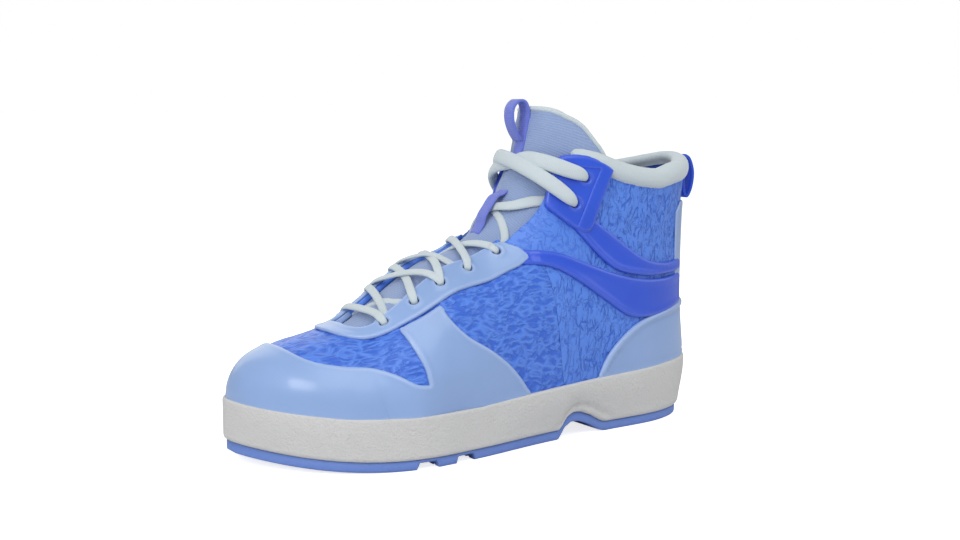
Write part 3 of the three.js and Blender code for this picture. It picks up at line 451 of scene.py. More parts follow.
def sheet(lattice, field, height, depth, edge=0.0, rings=5, shape=None, sink=None, round_back=False):
    """A closed sheet over field > 0 from depth up to height, with a rounded edge.

    shape(lattice, places, distance) adds to the height, and sink(lattice, places) to both sides. Returns
    vertices, faces, and the outer side's places and distances from the rounded edge."""
    raw = field(lattice)
    size, climb = surface_gradient(lattice, raw)
    distance = raw / np.clip(size, 0.3, 2)
    places, faces3, faces4 = march(distance - edge)
    edges = boundary(faces3, faces4)
    border = np.unique(edges)
    slot = np.full(len(places), -1)
    slot[border] = np.arange(len(border))
    at_distance = np.maximum(sample(distance, places), edge)

    def lifted(where, h):
        n = sample(lattice.n, where)
        n /= np.linalg.norm(n, axis=1, keepdims=True)
        h = np.broadcast_to(h, len(where)) + (sink(lattice, where) if sink else 0)
        return sample(lattice.p, where) + n * h[:, None]

    extra = shape(lattice, places, at_distance) if shape else np.zeros(len(places))
    blocks = [lifted(places, height + extra)]
    out = sample(climb, places[border])
    start = len(places)
    ring_ids = [border]
    rim = height + extra[border]
    for reach, level in edge_levels(rings if edge > 0 else 0, round_back):
        blocks.append(lifted(places[border] - out * edge * reach, depth + (rim - depth) * level))
        ring_ids.append(start + np.arange(len(border)))
        start += len(border)
    bottom = start + np.arange(len(places))
    blocks.append(lifted(places, depth))
    ring_ids.append(bottom[border])
    faces = [faces3, faces4, bottom[faces3][:, ::-1], bottom[faces4][:, ::-1]]
    p, q = slot[edges[:, 0]], slot[edges[:, 1]]
    for upper, lower in zip(ring_ids, ring_ids[1:]):
        faces.append(np.stack([upper[q], upper[p], lower[p], lower[q]], 1))
    faces = [face for block in faces for face in block.tolist()]
    return np.vstack(blocks), faces, places, at_distance - edge


# ---------------------------------------------------------------- making objects
def make(name, verts, faces, material, body="shoe", values=None, uv=None):
    """A smooth mesh that rides on a body, with values or strip coordinates stored for its material."""
    mesh = bpy.data.meshes.new(name)
    mesh.from_pydata((np.asarray(verts) * MM).tolist(), [], [list(f) for f in faces])
    mesh.validate()
    mesh.polygons.foreach_set("use_smooth", np.full(len(mesh.polygons), True))
    for key, data in (values or {}).items():
        mesh.attributes.new(key, "FLOAT", "POINT").data.foreach_set("value", np.asarray(data, np.float32))
    if uv is not None:
        loops = np.zeros(len(mesh.loops), int)
        mesh.loops.foreach_get("vertex_index", loops)
        mesh.uv_layers.new(name="strip").data.foreach_set("uv", np.asarray(uv)[loops].ravel())
    mesh.materials.append(material)
    piece = bpy.data.objects.new(name, mesh)
    bpy.context.scene.collection.objects.link(piece)
    if body:
        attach(piece, body)
    return piece


def padded(values, total):
    """Values for a sheet's outer vertices, with the mean for the rest."""
    out = np.full(total, float(np.mean(values)))
    out[:len(values)] = values
    return out


# The pale line along a film's edge is a painted highlight, for the light its rounded edge catches.
EDGE_HIGHLIGHT_WIDTH = 0.9  # of the pale line along a film's edge


def panel(name, stands_for, lattice, field, height, depth, material, edge=0.0, shape=None, grain=None):
    """A sheet that stands for one CAD node. grain(points) gives the two pattern places its material reads."""
    verts, faces, places, inward = sheet(lattice, field, height, depth, edge, shape=shape)
    # Share of the painted edge highlight: rising over the last stretch inside the rounded edge, and full on
    # the edge's rings.
    painted_edge_highlight = np.zeros(len(verts))
    painted_edge_highlight[:len(places)] = smooth(inward, EDGE_HIGHLIGHT_WIDTH, 0)
    painted_edge_highlight[len(places):-len(places)] = 1
    values = {"painted_edge_highlight": painted_edge_highlight}
    if grain:
        p = sample(lattice.p, places)
        u, v = grain(p)
        total = len(verts)
        values.update(grain_u=padded(u, total), grain_v=padded(v, total), calm=padded(calm(p), total))
    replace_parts(make(name, verts, faces, material, values=values), stands_for)


def unit(vectors):
    return vectors / np.linalg.norm(vectors, axis=-1, keepdims=True)


STEEP = 0.45  # below this sine of the angle between the path and up, a tube keeps its last sideways direction


def sideways(along, up):
    """Directions across a path, level with up where the path isn't steep, and turning smoothly."""
    across = np.cross(along, up)
    weight = np.linalg.norm(across, axis=1)
    for k in range(1, len(across)):
        if weight[k] < STEEP:
            across[k] = across[k - 1] - along[k] * np.dot(across[k - 1], along[k])
        elif np.dot(across[k], across[k - 1]) < 0:
            across[k] = -across[k]
        across[k] = unit(across[k])
    across[0] = unit(across[0])
    for _ in range(3):
        across[1:-1] = (across[:-2] + 2 * across[1:-1] + across[2:]) / 4
    return unit(across - along * (across * along).sum(1, keepdims=True))


def tube(path, up, half, thick, sides, power):
    """A bar with a flattened oval section along a path. Returns vertices, faces and strip coordinates."""
    path, up = np.asarray(path, float), np.asarray(up, float)
    along = unit(np.gradient(path, axis=0))
    across = sideways(along, up)
    over = np.cross(along, across)
    a = 2 * np.pi * (np.arange(sides) + 0.5) / sides
    c, s = np.cos(a), np.sin(a)
    r = (np.abs(c) ** power + np.abs(s) ** power) ** (-1 / power)
    half, thick = np.broadcast_to(half, len(path)), np.broadcast_to(thick, len(path))
    rings = (
        path[:, None]
        + across[:, None] * (half[:, None] * (r * c))[..., None]
        + over[:, None] * (thick[:, None] * (r * s))[..., None]
    )
    count = len(path)
    k, j = np.meshgrid(np.arange(count - 1) * sides, np.arange(sides), indexing="ij")
    nk, nj = k + sides, (j + 1) % sides
    faces = np.stack([k + j, nk + j, nk + nj, k + nj], -1).reshape(-1, 4).tolist()
    faces.append(list(range(sides)))
    faces.append(list(range((count - 1) * sides, count * sides))[::-1])
    uv = np.stack([np.repeat(run_of(path), sides), np.tile(r * c, count) * np.repeat(half, sides)], 1)
    return rings.reshape(-1, 3), faces, uv


def facing_out(verts, faces):
    """Turns the faces round if the closed mesh is inside out."""
    verts = np.asarray(verts, float)
    volume = 0.0
    for face in faces:
        a = verts[face[0]]
        for k in range(1, len(face) - 1):
            volume += np.dot(a, np.cross(verts[face[k]], verts[face[k + 1]]))
    return [f[::-1] for f in faces] if volume < 0 else faces


# ---------------------------------------------------------------- patterns in the skin
def hashed(i, j, seed):
    """Scattered values between 0 and 1 for whole numbers."""
    v = np.sin(i * 127.1 + j * 311.7 + seed * 74.7) * 43758.5453
    return v - np.floor(v)


def waves(u, v, seed=0):
    """Smooth value noise between -1 and 1."""
    iu, iv = np.floor(u), np.floor(v)
    f, g = u - iu, v - iv
    f, g = f * f * (3 - 2 * f), g * g * (3 - 2 * g)
    corner = lambda a, b: hashed(iu + a, iv + b, seed)
    low = corner(0, 0) * (1 - f) + corner(1, 0) * f
    high = corner(0, 1) * (1 - f) + corner(1, 1) * f
    return 2 * (low * (1 - g) + high * g) - 1


def calm(p):
    """1 where the skin is nearly smooth: beside the instep and round the ankle's front."""
    shin = smooth(p[:, 2] - 0.45 * (p[:, 0] - 100), 100, 112) * smooth(p[:, 0], 52, 66)
    return np.clip(shin + 0.35 * smooth(p[:, 0], 66, 80) * smooth(p[:, 0], 90, 82), 0, 1)


def scale_places(p):
    """Where each point lies in the vamp's pattern: along the shoe, and up its side and over its top."""
    u = p[:, 0] + 0.25 * p[:, 2]
    v = p[:, 2] - 0.85 * np.abs(off_centre(p))
    return u + 1.8 * waves(u / 9, v / 9, 3), v + 1.5 * waves(u / 8, v / 8, 4)


def bark_places(p):
    """Where each point lies in the quarters' pattern: round the shoe and up it."""
    u = p[:, 0] + 0.9 * np.abs(off_centre(p)) + 0.16 * p[:, 2]
    return u + 1.6 * waves(u / 11, p[:, 2] / 15, 7), p[:, 2]


def scale_relief(lattice, places, distance):
    """Crumples of the vamp and the toe: low rounded folds, longer along the shoe."""
    u, v = scale_places(sample(lattice.p, places))
    folds = 1 - np.abs(waves(u / 5.5, v / 3.4, 12))
    return 0.5 * (folds - 0.8) + 0.2 * waves(u / 16, v / 10, 13)


def bark_relief(lattice, places, distance):
    """Upright folds of the quarters, deeper toward the heel and nearly flat at the instep."""
    p = sample(lattice.p, places)
    u, v = bark_places(p)
    folds = 1 - np.abs(waves(u / 3.6, v / 11, 31))
    depth = 0.55 * (folds - 0.85) + 0.25 * waves(u / 10, v / 22, 32)
    return depth * (0.35 + 0.65 * smooth(p[:, 0], 78, 40))


LIP_AT, LIP_SPREAD = 2.2, 1.4  # how far inside the edge a lip lies, and how wide it is


def lipped(lip):
    """A low swelling just inside a panel's rounded edge."""
    return lambda lattice, places, distance: lip * np.exp(-((distance - LIP_AT) / LIP_SPREAD) ** 2)


# ---------------------------------------------------------------- shader nodes
def shader(name, base, rough, **inputs):
    """A new material, with its node tree and its main shader."""
    material = bpy.data.materials.new(name)
    material.use_nodes = True
    tree = material.node_tree
    bsdf = tree.nodes["Principled BSDF"]
    bsdf.inputs["Base Color"].default_value = (*base, 1)
    bsdf.inputs["Roughness"].default_value = rough
    for key, value in inputs.items():
        bsdf.inputs[key.replace("_", " ")].default_value = value
    return material, tree, bsdf


def is_socket(value):
    return isinstance(value, bpy.types.NodeSocket)


def node(tree, kind, inputs=None, **settings):
    """A new node whose inputs are linked to sockets or set to values."""
    made = tree.nodes.new(kind)
    for key, value in settings.items():
        setattr(made, key, value)
    for key, value in (inputs or {}).items():
        if is_socket(value):
            tree.links.new(value, made.inputs[key])
        else:
            made.inputs[key].default_value = value
    return made


def feed(value, bsdf, key):
    bsdf.id_data.links.new(value, bsdf.inputs[key])


def tree_of(*values):
    """The node tree of the first socket among the values."""
    return next(value.id_data for value in values if is_socket(value))


def math_node(operation, a, b=0.0):
    return node(tree_of(a, b), "ShaderNodeMath", {0: a, 1: b}, operation=operation).outputs[0]


def plus(a, b):
    return math_node("ADD", a, b)


def minus(a, b):
    return math_node("SUBTRACT", a, b)


def times(a, b):
    return math_node("MULTIPLY", a, b)


def wave(value):
    """A sine with one turn for each unit."""
    return math_node("SINE", times(value, 2 * math.pi))


def vector_node(operation, a, b):
    return node(tree_of(a, b), "ShaderNodeVectorMath", {0: a, 1: b}, operation=operation).outputs[0]


def noise(vector, scale, detail=4.0, roughness=0.55):
    inputs = {"Vector": vector, "Scale": scale, "Detail": detail, "Roughness": roughness}
    return node(tree_of(vector), "ShaderNodeTexNoise", inputs).outputs["Fac"]


def smooth_step(value, low, high):
    inputs = {"Value": value, "From Min": low, "From Max": high}
    return node(tree_of(value), "ShaderNodeMapRange", inputs, interpolation_type="SMOOTHSTEP").outputs[0]


def ramp(value, *stops):
    """Colours for a value, from stops of (value, colour)."""
    made = node(tree_of(value), "ShaderNodeValToRGB", {"Fac": value})
    for element, (at, colour) in zip(made.color_ramp.elements, stops):
        element.position = at
        element.color = (*colour, 1)
    return made.outputs["Color"]


def mixed(share, a, b, blend="MIX"):
    """A share of colour b over colour a."""
    colours = [value if is_socket(value) else (*value, 1) for value in (a, b)]
    inputs = {0: share, 6: colours[0], 7: colours[1]}
    return node(tree_of(share, a, b), "ShaderNodeMix", inputs, data_type="RGBA", blend_type=blend).outputs[2]


def bump(bsdf, height, strength, distance):
    inputs = {"Height": height, "Strength": strength, "Distance": distance * MM}
    feed(node(bsdf.id_data, "ShaderNodeBump", inputs).outputs["Normal"], bsdf, "Normal")


def place(tree, kind="Object"):
    return node(tree, "ShaderNodeTexCoord").outputs[kind]


def read(tree, name):
    """A value stored on the mesh's vertices."""
    return node(tree, "ShaderNodeAttribute", attribute_name=name).outputs["Fac"]


def shade(colour, factor):
    return tuple(min(1.0, c * factor) for c in colour)


def srgb(*levels):
    """A linear colour from levels of 0 to 255."""
    linear = lambda c: c / 12.92 if c <= 0.04045 else ((c + 0.055) / 1.055) ** 2.4
    return tuple(linear(level / 255) for level in levels)


def pattern(tree, wide, tall, wander):
    """The skin's pattern places in cells of wide by tall millimetres, wandering by so many millimetres."""
    flat = node(tree, "ShaderNodeCombineXYZ", {0: read(tree, "grain_u"), 1: read(tree, "grain_v")}).outputs[0]
    drift = node(tree, "ShaderNodeTexNoise", {"Vector": flat, "Scale": 0.16, "Detail": 2.0}).outputs["Color"]
    pushed = vector_node("MULTIPLY", vector_node("SUBTRACT", drift, (0.5,) * 3), (wander,) * 3)
    return vector_node("MULTIPLY", vector_node("ADD", flat, pushed), (1 / wide, 1 / tall, 1))


def cell_edges(vector, width):
    """1 on the borders between scattered cells, falling to 0 within width of a cell."""
    inputs = {"Vector": vector, "Scale": 1.0}
    cells = node(
        tree_of(vector), "ShaderNodeTexVoronoi", inputs, feature="DISTANCE_TO_EDGE", voronoi_dimensions="2D",
    )
    return minus(1.0, smooth_step(cells.outputs["Distance"], 0.0, width))


def creases(vector, width):
    """1 along the wandering lines where a noise passes its middle value."""
    off = math_node("ABSOLUTE", minus(noise(vector, 1.0, 2, 0.5), 0.5))
    return minus(1.0, smooth_step(off, 0.0, width))


# ---------------------------------------------------------------- materials
def scale_depth(tree, wide, tall):
    """Dark scales between raised pale veins, which break off and smudge here and there."""
    joined = smooth_step(noise(pattern(tree, wide * 1.5, tall * 1.8, 3.0), 1.0, 2), 0.34, 0.52)
    net = times(cell_edges(pattern(tree, wide, tall, 4.6), 0.42), joined)
    smudge = smooth_step(noise(pattern(tree, wide * 1.1, tall * 1.1, 2.0), 1.0, 3), 0.5, 0.62)
    return minus(1.0, math_node("MAXIMUM", net, times(smudge, 0.8)))


def bark_depth(tree, wide, tall):
    """Dark broken cracks in a pale plain, with finer creases between them."""
    whole = smooth_step(noise(pattern(tree, wide * 1.4, tall * 0.8, 3.0), 1.0, 2), 0.46, 0.56)
    net = times(cell_edges(pattern(tree, wide, tall, 4.6), 0.19), whole)
    folds = creases(pattern(tree, wide * 1.6, tall * 1.6, 3.0), 0.035)
    return math_node("MAXIMUM", net, times(folds, 0.6))


def skin_material(name, depth_of, wide, tall):
    """Grained skin, pale where it is raised and dark in its depths (partly the grain's own tone and partly
    painted shade in its creases and cells), and quieter where it is calm.
    """
    material, tree, bsdf = shader(name, SKIN_BRIGHT, 0.4, Specular_IOR_Level=0.4, Coat_Weight=0.12)
    where = place(tree)
    loud = minus(1.0, times(read(tree, "calm"), 0.45))
    depth = times(depth_of(tree, wide, tall), loud)
    # Partly the grain's own tone, partly painted shade: the colour darkens toward the deep blue in the
    # creases and cells.
    colour = mixed(times(depth, 0.75), SKIN_BRIGHT, SKIN_BLUE)
    cloud = ramp(noise(where, 22, 3), (0.3, (0.93, 0.95, 0.97)), (0.7, (1.03, 1.02, 1.01)))
    feed(mixed(1.0, colour, cloud, "MULTIPLY"), bsdf, "Base Color")
    pores = times(noise(where, 700, 5, 0.6), 0.2)
    bump(bsdf, minus(pores, depth), 0.8, 0.7)
    return material


def satin_material(name, colour, rough, relief=0.1, coat=0.1, edge_highlight_share=0.0):
    """Smooth moulded film: faint mottling, a fine leathery pore, changes of gloss and a painted highlight
    along its edges.
    """
    material, tree, bsdf = shader(
        name, colour, rough, Specular_IOR_Level=0.5, Coat_Weight=coat, Coat_Roughness=0.16,
    )
    where = place(tree)
    cloud = noise(where, 18, 4)
    tone = ramp(cloud, (0.3, shade(colour, 0.94)), (0.7, shade(colour, 1.06)))
    # Painted highlight: the film is paled along its edges, where its rounded edge would catch the light.
    feed(mixed(times(read(tree, "painted_edge_highlight"), edge_highlight_share), tone, EDGE_HIGHLIGHT_BLUE), bsdf, "Base Color")
    gloss = ramp(noise(where, 70, 3), (0.3, (rough - 0.05,) * 3), (0.7, (rough + 0.07,) * 3))
    feed(gloss, bsdf, "Roughness")
    pores = noise(where, 1100, 4, 0.5)
    bump(bsdf, plus(pores, times(cloud, 0.6)), relief, 0.15)
    return material


def knit_material(name, colour, along, across, relief, coordinates="Object", contrast=1.0):
    """Fabric with rows of small stitches; along and across are a stitch's size in millimetres."""
    material, tree, bsdf = shader(
        name, colour, 0.85, Specular_IOR_Level=0.25, Sheen_Weight=0.35, Sheen_Roughness=0.5,
    )
    strip = coordinates == "UV"
    to_mm = (1 if strip else 1 / MM,) * 3
    where = node(tree, "ShaderNodeMapping", {"Vector": place(tree, coordinates), "Scale": to_mm}).outputs[0]
    split = node(tree, "ShaderNodeSeparateXYZ", {0: where}).outputs
    wobble = times(noise(where, 0.4, 2), 0.5)
    u = plus(math_node("DIVIDE", split[0], along), wobble)
    v = plus(math_node("DIVIDE", split[1 if strip else 2], across), wobble)
    zigzag = plus(v, times(math_node("PINGPONG", u, 0.5), 0.9))
    stitch = plus(times(wave(zigzag), 0.5), times(wave(u), 0.35))
    low, high = shade(colour, 1 - 0.18 * contrast), shade(colour, 1 + 0.08 * contrast)
    feed(ramp(plus(times(stitch, 0.4), 0.5), (0.1, low), (0.75, high)), bsdf, "Base Color")
    bump(bsdf, plus(stitch, noise(where, 3, 2)), relief, 0.3)
    return material


def paint_light_forward(material, colour, start, end):
    """Blends a material's colour into another one between two places along the shoe, in metres."""
    tree = material.node_tree
    bsdf = tree.nodes["Principled BSDF"]
    before = bsdf.inputs["Base Color"].links[0].from_socket
    x = node(tree, "ShaderNodeSeparateXYZ", {0: place(tree)}).outputs[0]
    feed(mixed(smooth_step(x, start, end), before, colour), bsdf, "Base Color")


def ribbed_material(name, colour, spacing, relief):
    """Mesh with fine ribs across the foot and a darker gap between them."""
    material, tree, bsdf = shader(name, colour, 0.85, Specular_IOR_Level=0.25, Sheen_Weight=0.3)
    turn = 2 * math.pi / spacing
    rib = math_node("SINE", times(read(tree, "girth_run"), turn))
    tick = math_node("SINE", plus(times(read(tree, "girth_across"), turn * 1.3), times(rib, 0.8)))
    height = plus(rib, times(tick, 0.35))
    tone = ramp(plus(times(height, 0.35), 0.5), (0.05, shade(colour, 0.9)), (0.8, shade(colour, 1.04)))
    feed(tone, bsdf, "Base Color")
    bump(bsdf, plus(height, noise(place(tree), 800, 2)), relief, 0.2)
    return material


def pebbled_material(name, colour, rough, scale, relief, fleck=0.05):
    """Moulded foam or rubber with a fine pebbled face."""
    material, tree, bsdf = shader(name, colour, rough, Specular_IOR_Level=0.35)
    where = place(tree)
    cells = node(tree, "ShaderNodeTexVoronoi", {"Vector": where, "Scale": scale}, feature="SMOOTH_F1")
    lumps = noise(where, scale * 0.9, 4, 0.6)
    level = plus(times(lumps, 0.35), times(noise(where, 30, 4), 0.65))
    feed(ramp(level, (0.3, shade(colour, 1 - fleck)), (0.7, shade(colour, 1 + fleck))), bsdf, "Base Color")
    bump(bsdf, plus(times(cells.outputs["Distance"], -0.8), lumps), relief, 0.6)
    return material


# SKIN_BLUE fills the skin's creases and cells, partly as painted shade; SKIN_BRIGHT is its raised face.
SKIN_BLUE = srgb(34, 88, 204)
SKIN_BRIGHT = srgb(88, 137, 234)
LIGHT_BLUE = srgb(141, 171, 220)
EDGE_HIGHLIGHT_BLUE = srgb(186, 205, 240)  # painted highlight: film paled along its edges
DEEP_BLUE = srgb(38, 84, 216)
PERIWINKLE = srgb(112, 128, 220)
PALE = srgb(201, 213, 218)
MESH_BLUE = srgb(146, 166, 206)
MIDSOLE_GREY = srgb(209, 209, 208)
RUBBER_BLUE = srgb(109, 139, 210)
LINING_BLUE = srgb(15, 58, 140)

scaled_skin = skin_material("scaled_skin", scale_depth, 7.2, 3.9)
bark_skin = skin_material("bark_skin", bark_depth, 3.3, 9.5)
light_film = satin_material("light_film", LIGHT_BLUE, 0.36, coat=0.3, edge_highlight_share=0.28)
deep_film = satin_material("deep_film", DEEP_BLUE, 0.34, relief=0.06, coat=0.35, edge_highlight_share=0.05)
lace_weave = knit_material("lace_weave", PALE, 1.1, 0.8, 0.22, "UV", contrast=0.35)
binding_knit = knit_material("binding_knit", PALE, 1.0, 0.7, 0.25, contrast=0.4)
lining_knit = knit_material("lining_knit", LINING_BLUE, 1.5, 1.1, 0.6)
# Painted light: the lining is paled to the skin's blue toward the throat, where light reaches into it, and
# stays dark blue further back.
paint_light_forward(lining_knit, SKIN_BLUE, 0.05, 0.075)
tongue_mesh = ribbed_material("tongue_mesh", MESH_BLUE, 1.25, 0.35)
loop_weave = knit_material("loop_weave", PERIWINKLE, 1.3, 0.9, 0.45, "UV")
tab_weave = knit_material("tab_weave", DEEP_BLUE, 1.3, 0.9, 0.45, "UV")
foam_pebble = pebbled_material("foam_pebble", MIDSOLE_GREY, 0.75, 980, 0.75, fleck=0.015)
rubber_pebble = pebbled_material("rubber_pebble", RUBBER_BLUE, 0.5, 700, 0.25)
board_fibre = pebbled_material("board_fibre", srgb(190, 184, 170), 0.9, 900, 0.3)
shank_plastic = pebbled_material("shank_plastic", srgb(44, 48, 58), 0.5, 900, 0.2)
soft_foam = pebbled_material("soft_foam", srgb(226, 222, 206), 0.95, 1200, 0.5)
tip_film = satin_material("tip_film", PALE, 0.2, relief=0.03)


# ---------------------------------------------------------------- upper
RIM_LAP = 1.6  # how far the overlays reach below the midsole's rim
SKIN_LAP = 3  # how far the skin does
FACING_LIP = 0.9  # how far the skin's folded edge shows inside the eyestay
FACING_WIDTH, FACING_DEPTH, FACING_EDGE = 4, 3.3, 0.6
FACING_BACK = 116  # where along the shoe the folded edge starts
FACING_FRONT = 186  # where the skin's folded edge gives way to the film's, which laps it by a millimetre
VAMP_GRID = Lattice((0.0, 10.8), (-1.0, 1.0), 1.05)
QUARTER_GRID = {
    LATERAL: Lattice((7.2, 16.0), (0.0, 1.02), 1.05),
    MEDIAL: Lattice((7.2, 16.0), (-1.02, 0.0), 1.05),
}
HEEL_GRID = Lattice((8.0, 16.0), (0.35, 1.65), 1.0)
ALL_EYELETS = eyelet_holes(EYELETS + PLATE_EYELETS, EYELET_RADIUS)


def build_skin():
    panel(
        "vamp_skin", "vamp", VAMP_GRID, both(less(vamp_area, throat, ALL_EYELETS), above_rim(SKIN_LAP)),
        0, -SKIN_THICKNESS, scaled_skin, 0.0, scale_relief, scale_places,
    )
    for side, word in MIRROR:
        area = both(less(quarter_area, throat, ALL_EYELETS), above_rim(SKIN_LAP), toward(side))
        panel(
            f"quarter_skin_{word}", f"quarter_{word}", QUARTER_GRID[side], area,
            0, -SKIN_THICKNESS, bark_skin, 0.0, bark_relief, bark_places,
        )


def build_throat_facing():
    """The folded edges that show inside the eyestay: the skin's at the sides and the film's in front."""
    strip = lambda g: np.minimum(throat(g) + FACING_WIDTH, FACING_LIP - throat(g))
    inner = both(strip, above(INSTEP_Z), ahead_of(FACING_BACK))
    sides, front = both(inner, behind(FACING_FRONT)), both(inner, ahead_of(FACING_FRONT - 1))
    levels = (-ON_SKIN, -FACING_DEPTH)
    panel("throat_facing", "vamp", VAMP_GRID, sides, *levels, scaled_skin, FACING_EDGE, grain=scale_places)
    panel("throat_front_facing", "eyestay", VAMP_GRID, front, *levels, light_film, FACING_EDGE)


RING_HEIGHT, RING_GAP, RING_SPREAD = 0.45, 1.2, 0.8


def ringed(eyelets, lip):
    """A lipped shape with a small raised ring round each eyelet."""
    def shape(lattice, places, distance):
        nearest = nearest_eyelet(eyelets, sample(lattice.p, places))
        ring = RING_HEIGHT * np.exp(-((nearest - EYELET_RADIUS - RING_GAP) / RING_SPREAD) ** 2)
        return lipped(lip)(lattice, places, distance) + ring
    return shape


BORDER_WIDTH, BORDER_STEP = 8.6, 0.6  # the raised band on the plate
BORDER_INSET, BORDER_DEPTH, BORDER_EDGE = 1.2, 1.5, 0.7
PLATE_CORNER = (40.5, 152.5)  # the plate's upper rear corner
PLATE_REAR = (28, 14.5)  # square to the plate's rear edge
PLATE_TOP = (72, 162.6, 0.06)  # x and z of a place on its top edge, and the edge's fall


def plate_border(g):
    """The band along the plate's rear and top edges."""
    x, z = g.p[..., 0], g.p[..., 2]
    from_rear = ((x - PLATE_CORNER[0]) * PLATE_REAR[0] + (z - PLATE_CORNER[1]) * PLATE_REAR[1])
    from_rear = from_rear / math.hypot(*PLATE_REAR)
    top_x, top_z, fall = PLATE_TOP
    from_top = top_z - z - fall * (top_x - x)
    return BORDER_WIDTH - np.minimum(from_rear, from_top)


def piped_shape(lattice, places, distance):
    """A rolled edge along the heel counter's top with a groove behind it."""
    p = sample(lattice.p, places)
    near_top = smooth(p[:, 2] - rim_z(p[:, 0]), 1, 4)
    return near_top * (0.8 * smooth(distance, 4.4, 3.2) - 0.5 * np.exp(-((distance - 4.6) / 0.8) ** 2))


def strap_shape(lattice, places, distance):
    """Low at the front end, which is tucked under the eyestay."""
    x = sample(lattice.p, places)[:, 0]
    return lipped(0.3)(lattice, places, distance) - smooth(x, 90, 98)


STAY_GAP = 0.9  # between the eyestay and the toe overlay
STAY_EDGE, STRIP_EDGE, PLATE_ROUNDING = 1.2, 1.0, 1.8  # widths of their rounded edges
PLATE_HOLE = EYELET_RADIUS - 0.4


def film(name, stands_for, lattice, field, height, edge, shape, material=None):
    panel(name, stands_for, lattice, field, height, ON_SKIN, material or light_film, edge, shape)


def build_overlays():
    toe = both(less(toe_area, eyestay_area, gap=STAY_GAP), less(above_rim(RIM_LAP), throat))
    film("toe_overlay_film", "toe_overlay", VAMP_GRID, toe, OVERLAY_HEIGHT, OVERLAY_EDGE, lipped(0.3))
    stay = less(eyestay_area, eyelet_holes(EYELETS, EYELET_RADIUS))
    film("eyestay_film", "eyestay", VAMP_GRID, stay, EYESTAY_HEIGHT, STAY_EDGE, ringed(EYELETS, 0.25))
    counter = both(heel_area, above_rim(RIM_LAP))
    film("heel_counter_film", "heel_counter", HEEL_GRID, counter, OVERLAY_HEIGHT, OVERLAY_EDGE, piped_shape)
    film("back_strip_film", "back_strip", HEEL_GRID, back_strip_area, STRIP_HEIGHT, STRIP_EDGE, lipped(0.15))
    plate = less(plate_area, eyelet_holes(PLATE_EYELETS, PLATE_HOLE))
    border = both(lambda g: plate(g) - BORDER_INSET, plate_border)
    dark_films = [
        ("lower_strap", lower_strap_area, STRAP_HEIGHT, OVERLAY_EDGE, strap_shape),
        ("upper_strap", upper_strap_area, STRAP_HEIGHT, OVERLAY_EDGE, lipped(0.35)),
        ("ankle_plate", plate, PLATE_HEIGHT, PLATE_ROUNDING, ringed(PLATE_EYELETS, 0.2)),
    ]
    for side, word in MIRROR:
        grid = QUARTER_GRID[side]
        for name, area, height, edge, shape in dark_films:
            film(f"{name}_film_{word}", f"{name}_{word}", grid, area, height, edge, shape, deep_film)
        panel(
            f"ankle_plate_border_{word}", f"ankle_plate_{word}", grid, border,
            PLATE_HEIGHT + BORDER_STEP, PLATE_HEIGHT - BORDER_DEPTH, deep_film, BORDER_EDGE,
        )


def soft_swell(lattice, places, distance):
    """Slight unevenness of the lining over its foam."""
    p = sample(lattice.p, places)
    return 0.5 * waves(p[:, 0] / 14, p[:, 2] / 14, 41)


LINING_RISE = 8.0  # into the collar roll, over the quarter's top edge
LINING_INSET, LINING_LOW_Z, LINING_THROAT_GAP = 1.5, 30, 7.0


def build_lining():
    grid = Lattice((5.2, 16.0), (0.03, 1.97), 1.8)
    top = [(x, z + LINING_RISE * float(smooth(x, 62, 45))) for x, z in QUARTER_TOP]
    upper = side_view(outline(QUARTER_FRONT, top, [(-60, 155)], [(-60, 15)], *FRONT_CORNERS))
    area = less(both(lambda g: upper(g) - LINING_INSET, above(LINING_LOW_Z)), throat, gap=LINING_THROAT_GAP)
    inner = -LINING_DEPTH - LINING_THICKNESS
    panel("lining_cloth", "lining", grid, area, -LINING_DEPTH, inner, lining_knit, shape=soft_swell)


# ---------------------------------------------------------------- places on the surface
def locate(x, z, side):
    """The (station, degrees) of a point seen from the side."""
    t, a = np.meshgrid(np.arange(0.5, LAST_STATION, 0.25), np.arange(0.1, 3.1, 0.05), indexing="ij")
    reach_t, reach_a = 0.25, 0.05
    for _ in range(12):
        p = last_point(t, side * a)
        miss = np.hypot(p[..., 0] - x, p[..., 2] - z)
        k = np.unravel_index(np.argmin(miss), miss.shape)
        best_t, best_a = t[k], a[k]
        t, a = np.meshgrid(
            best_t + reach_t * np.linspace(-1, 1, 9), best_a + reach_a * np.linspace(-1, 1, 9), indexing="ij"
        )
        reach_t, reach_a = reach_t / 2.5, reach_a / 2.5
    return best_t, math.degrees(side * best_a)


LEAST_HALF = 0.3  # no band gets thinner than twice this


def route(rows, per_row):
    """Points, upward normals, half widths and half thicknesses along rows of
    (station, degrees, offset, half width, half thickness)."""
    rows = np.array(rows, float)
    fine = between_rows(rows, np.linspace(0, len(rows) - 1, per_row * (len(rows) - 1) + 1))
    t, degrees, offset, half, thick = fine.T
    up = last_normal(t, np.radians(degrees))
    return on_last(t, degrees, offset), up, np.maximum(half, LEAST_HALF), np.maximum(thick, LEAST_HALF)


def strand(name, stands_for, rows, material, sides, power, per_row=6):
    """A band or cord laid on the lasted surface."""
    verts, faces, uv = tube(*route(rows, per_row), sides, power)
    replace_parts(make(name, verts, facing_out(verts, faces), material, uv=uv), stands_for)


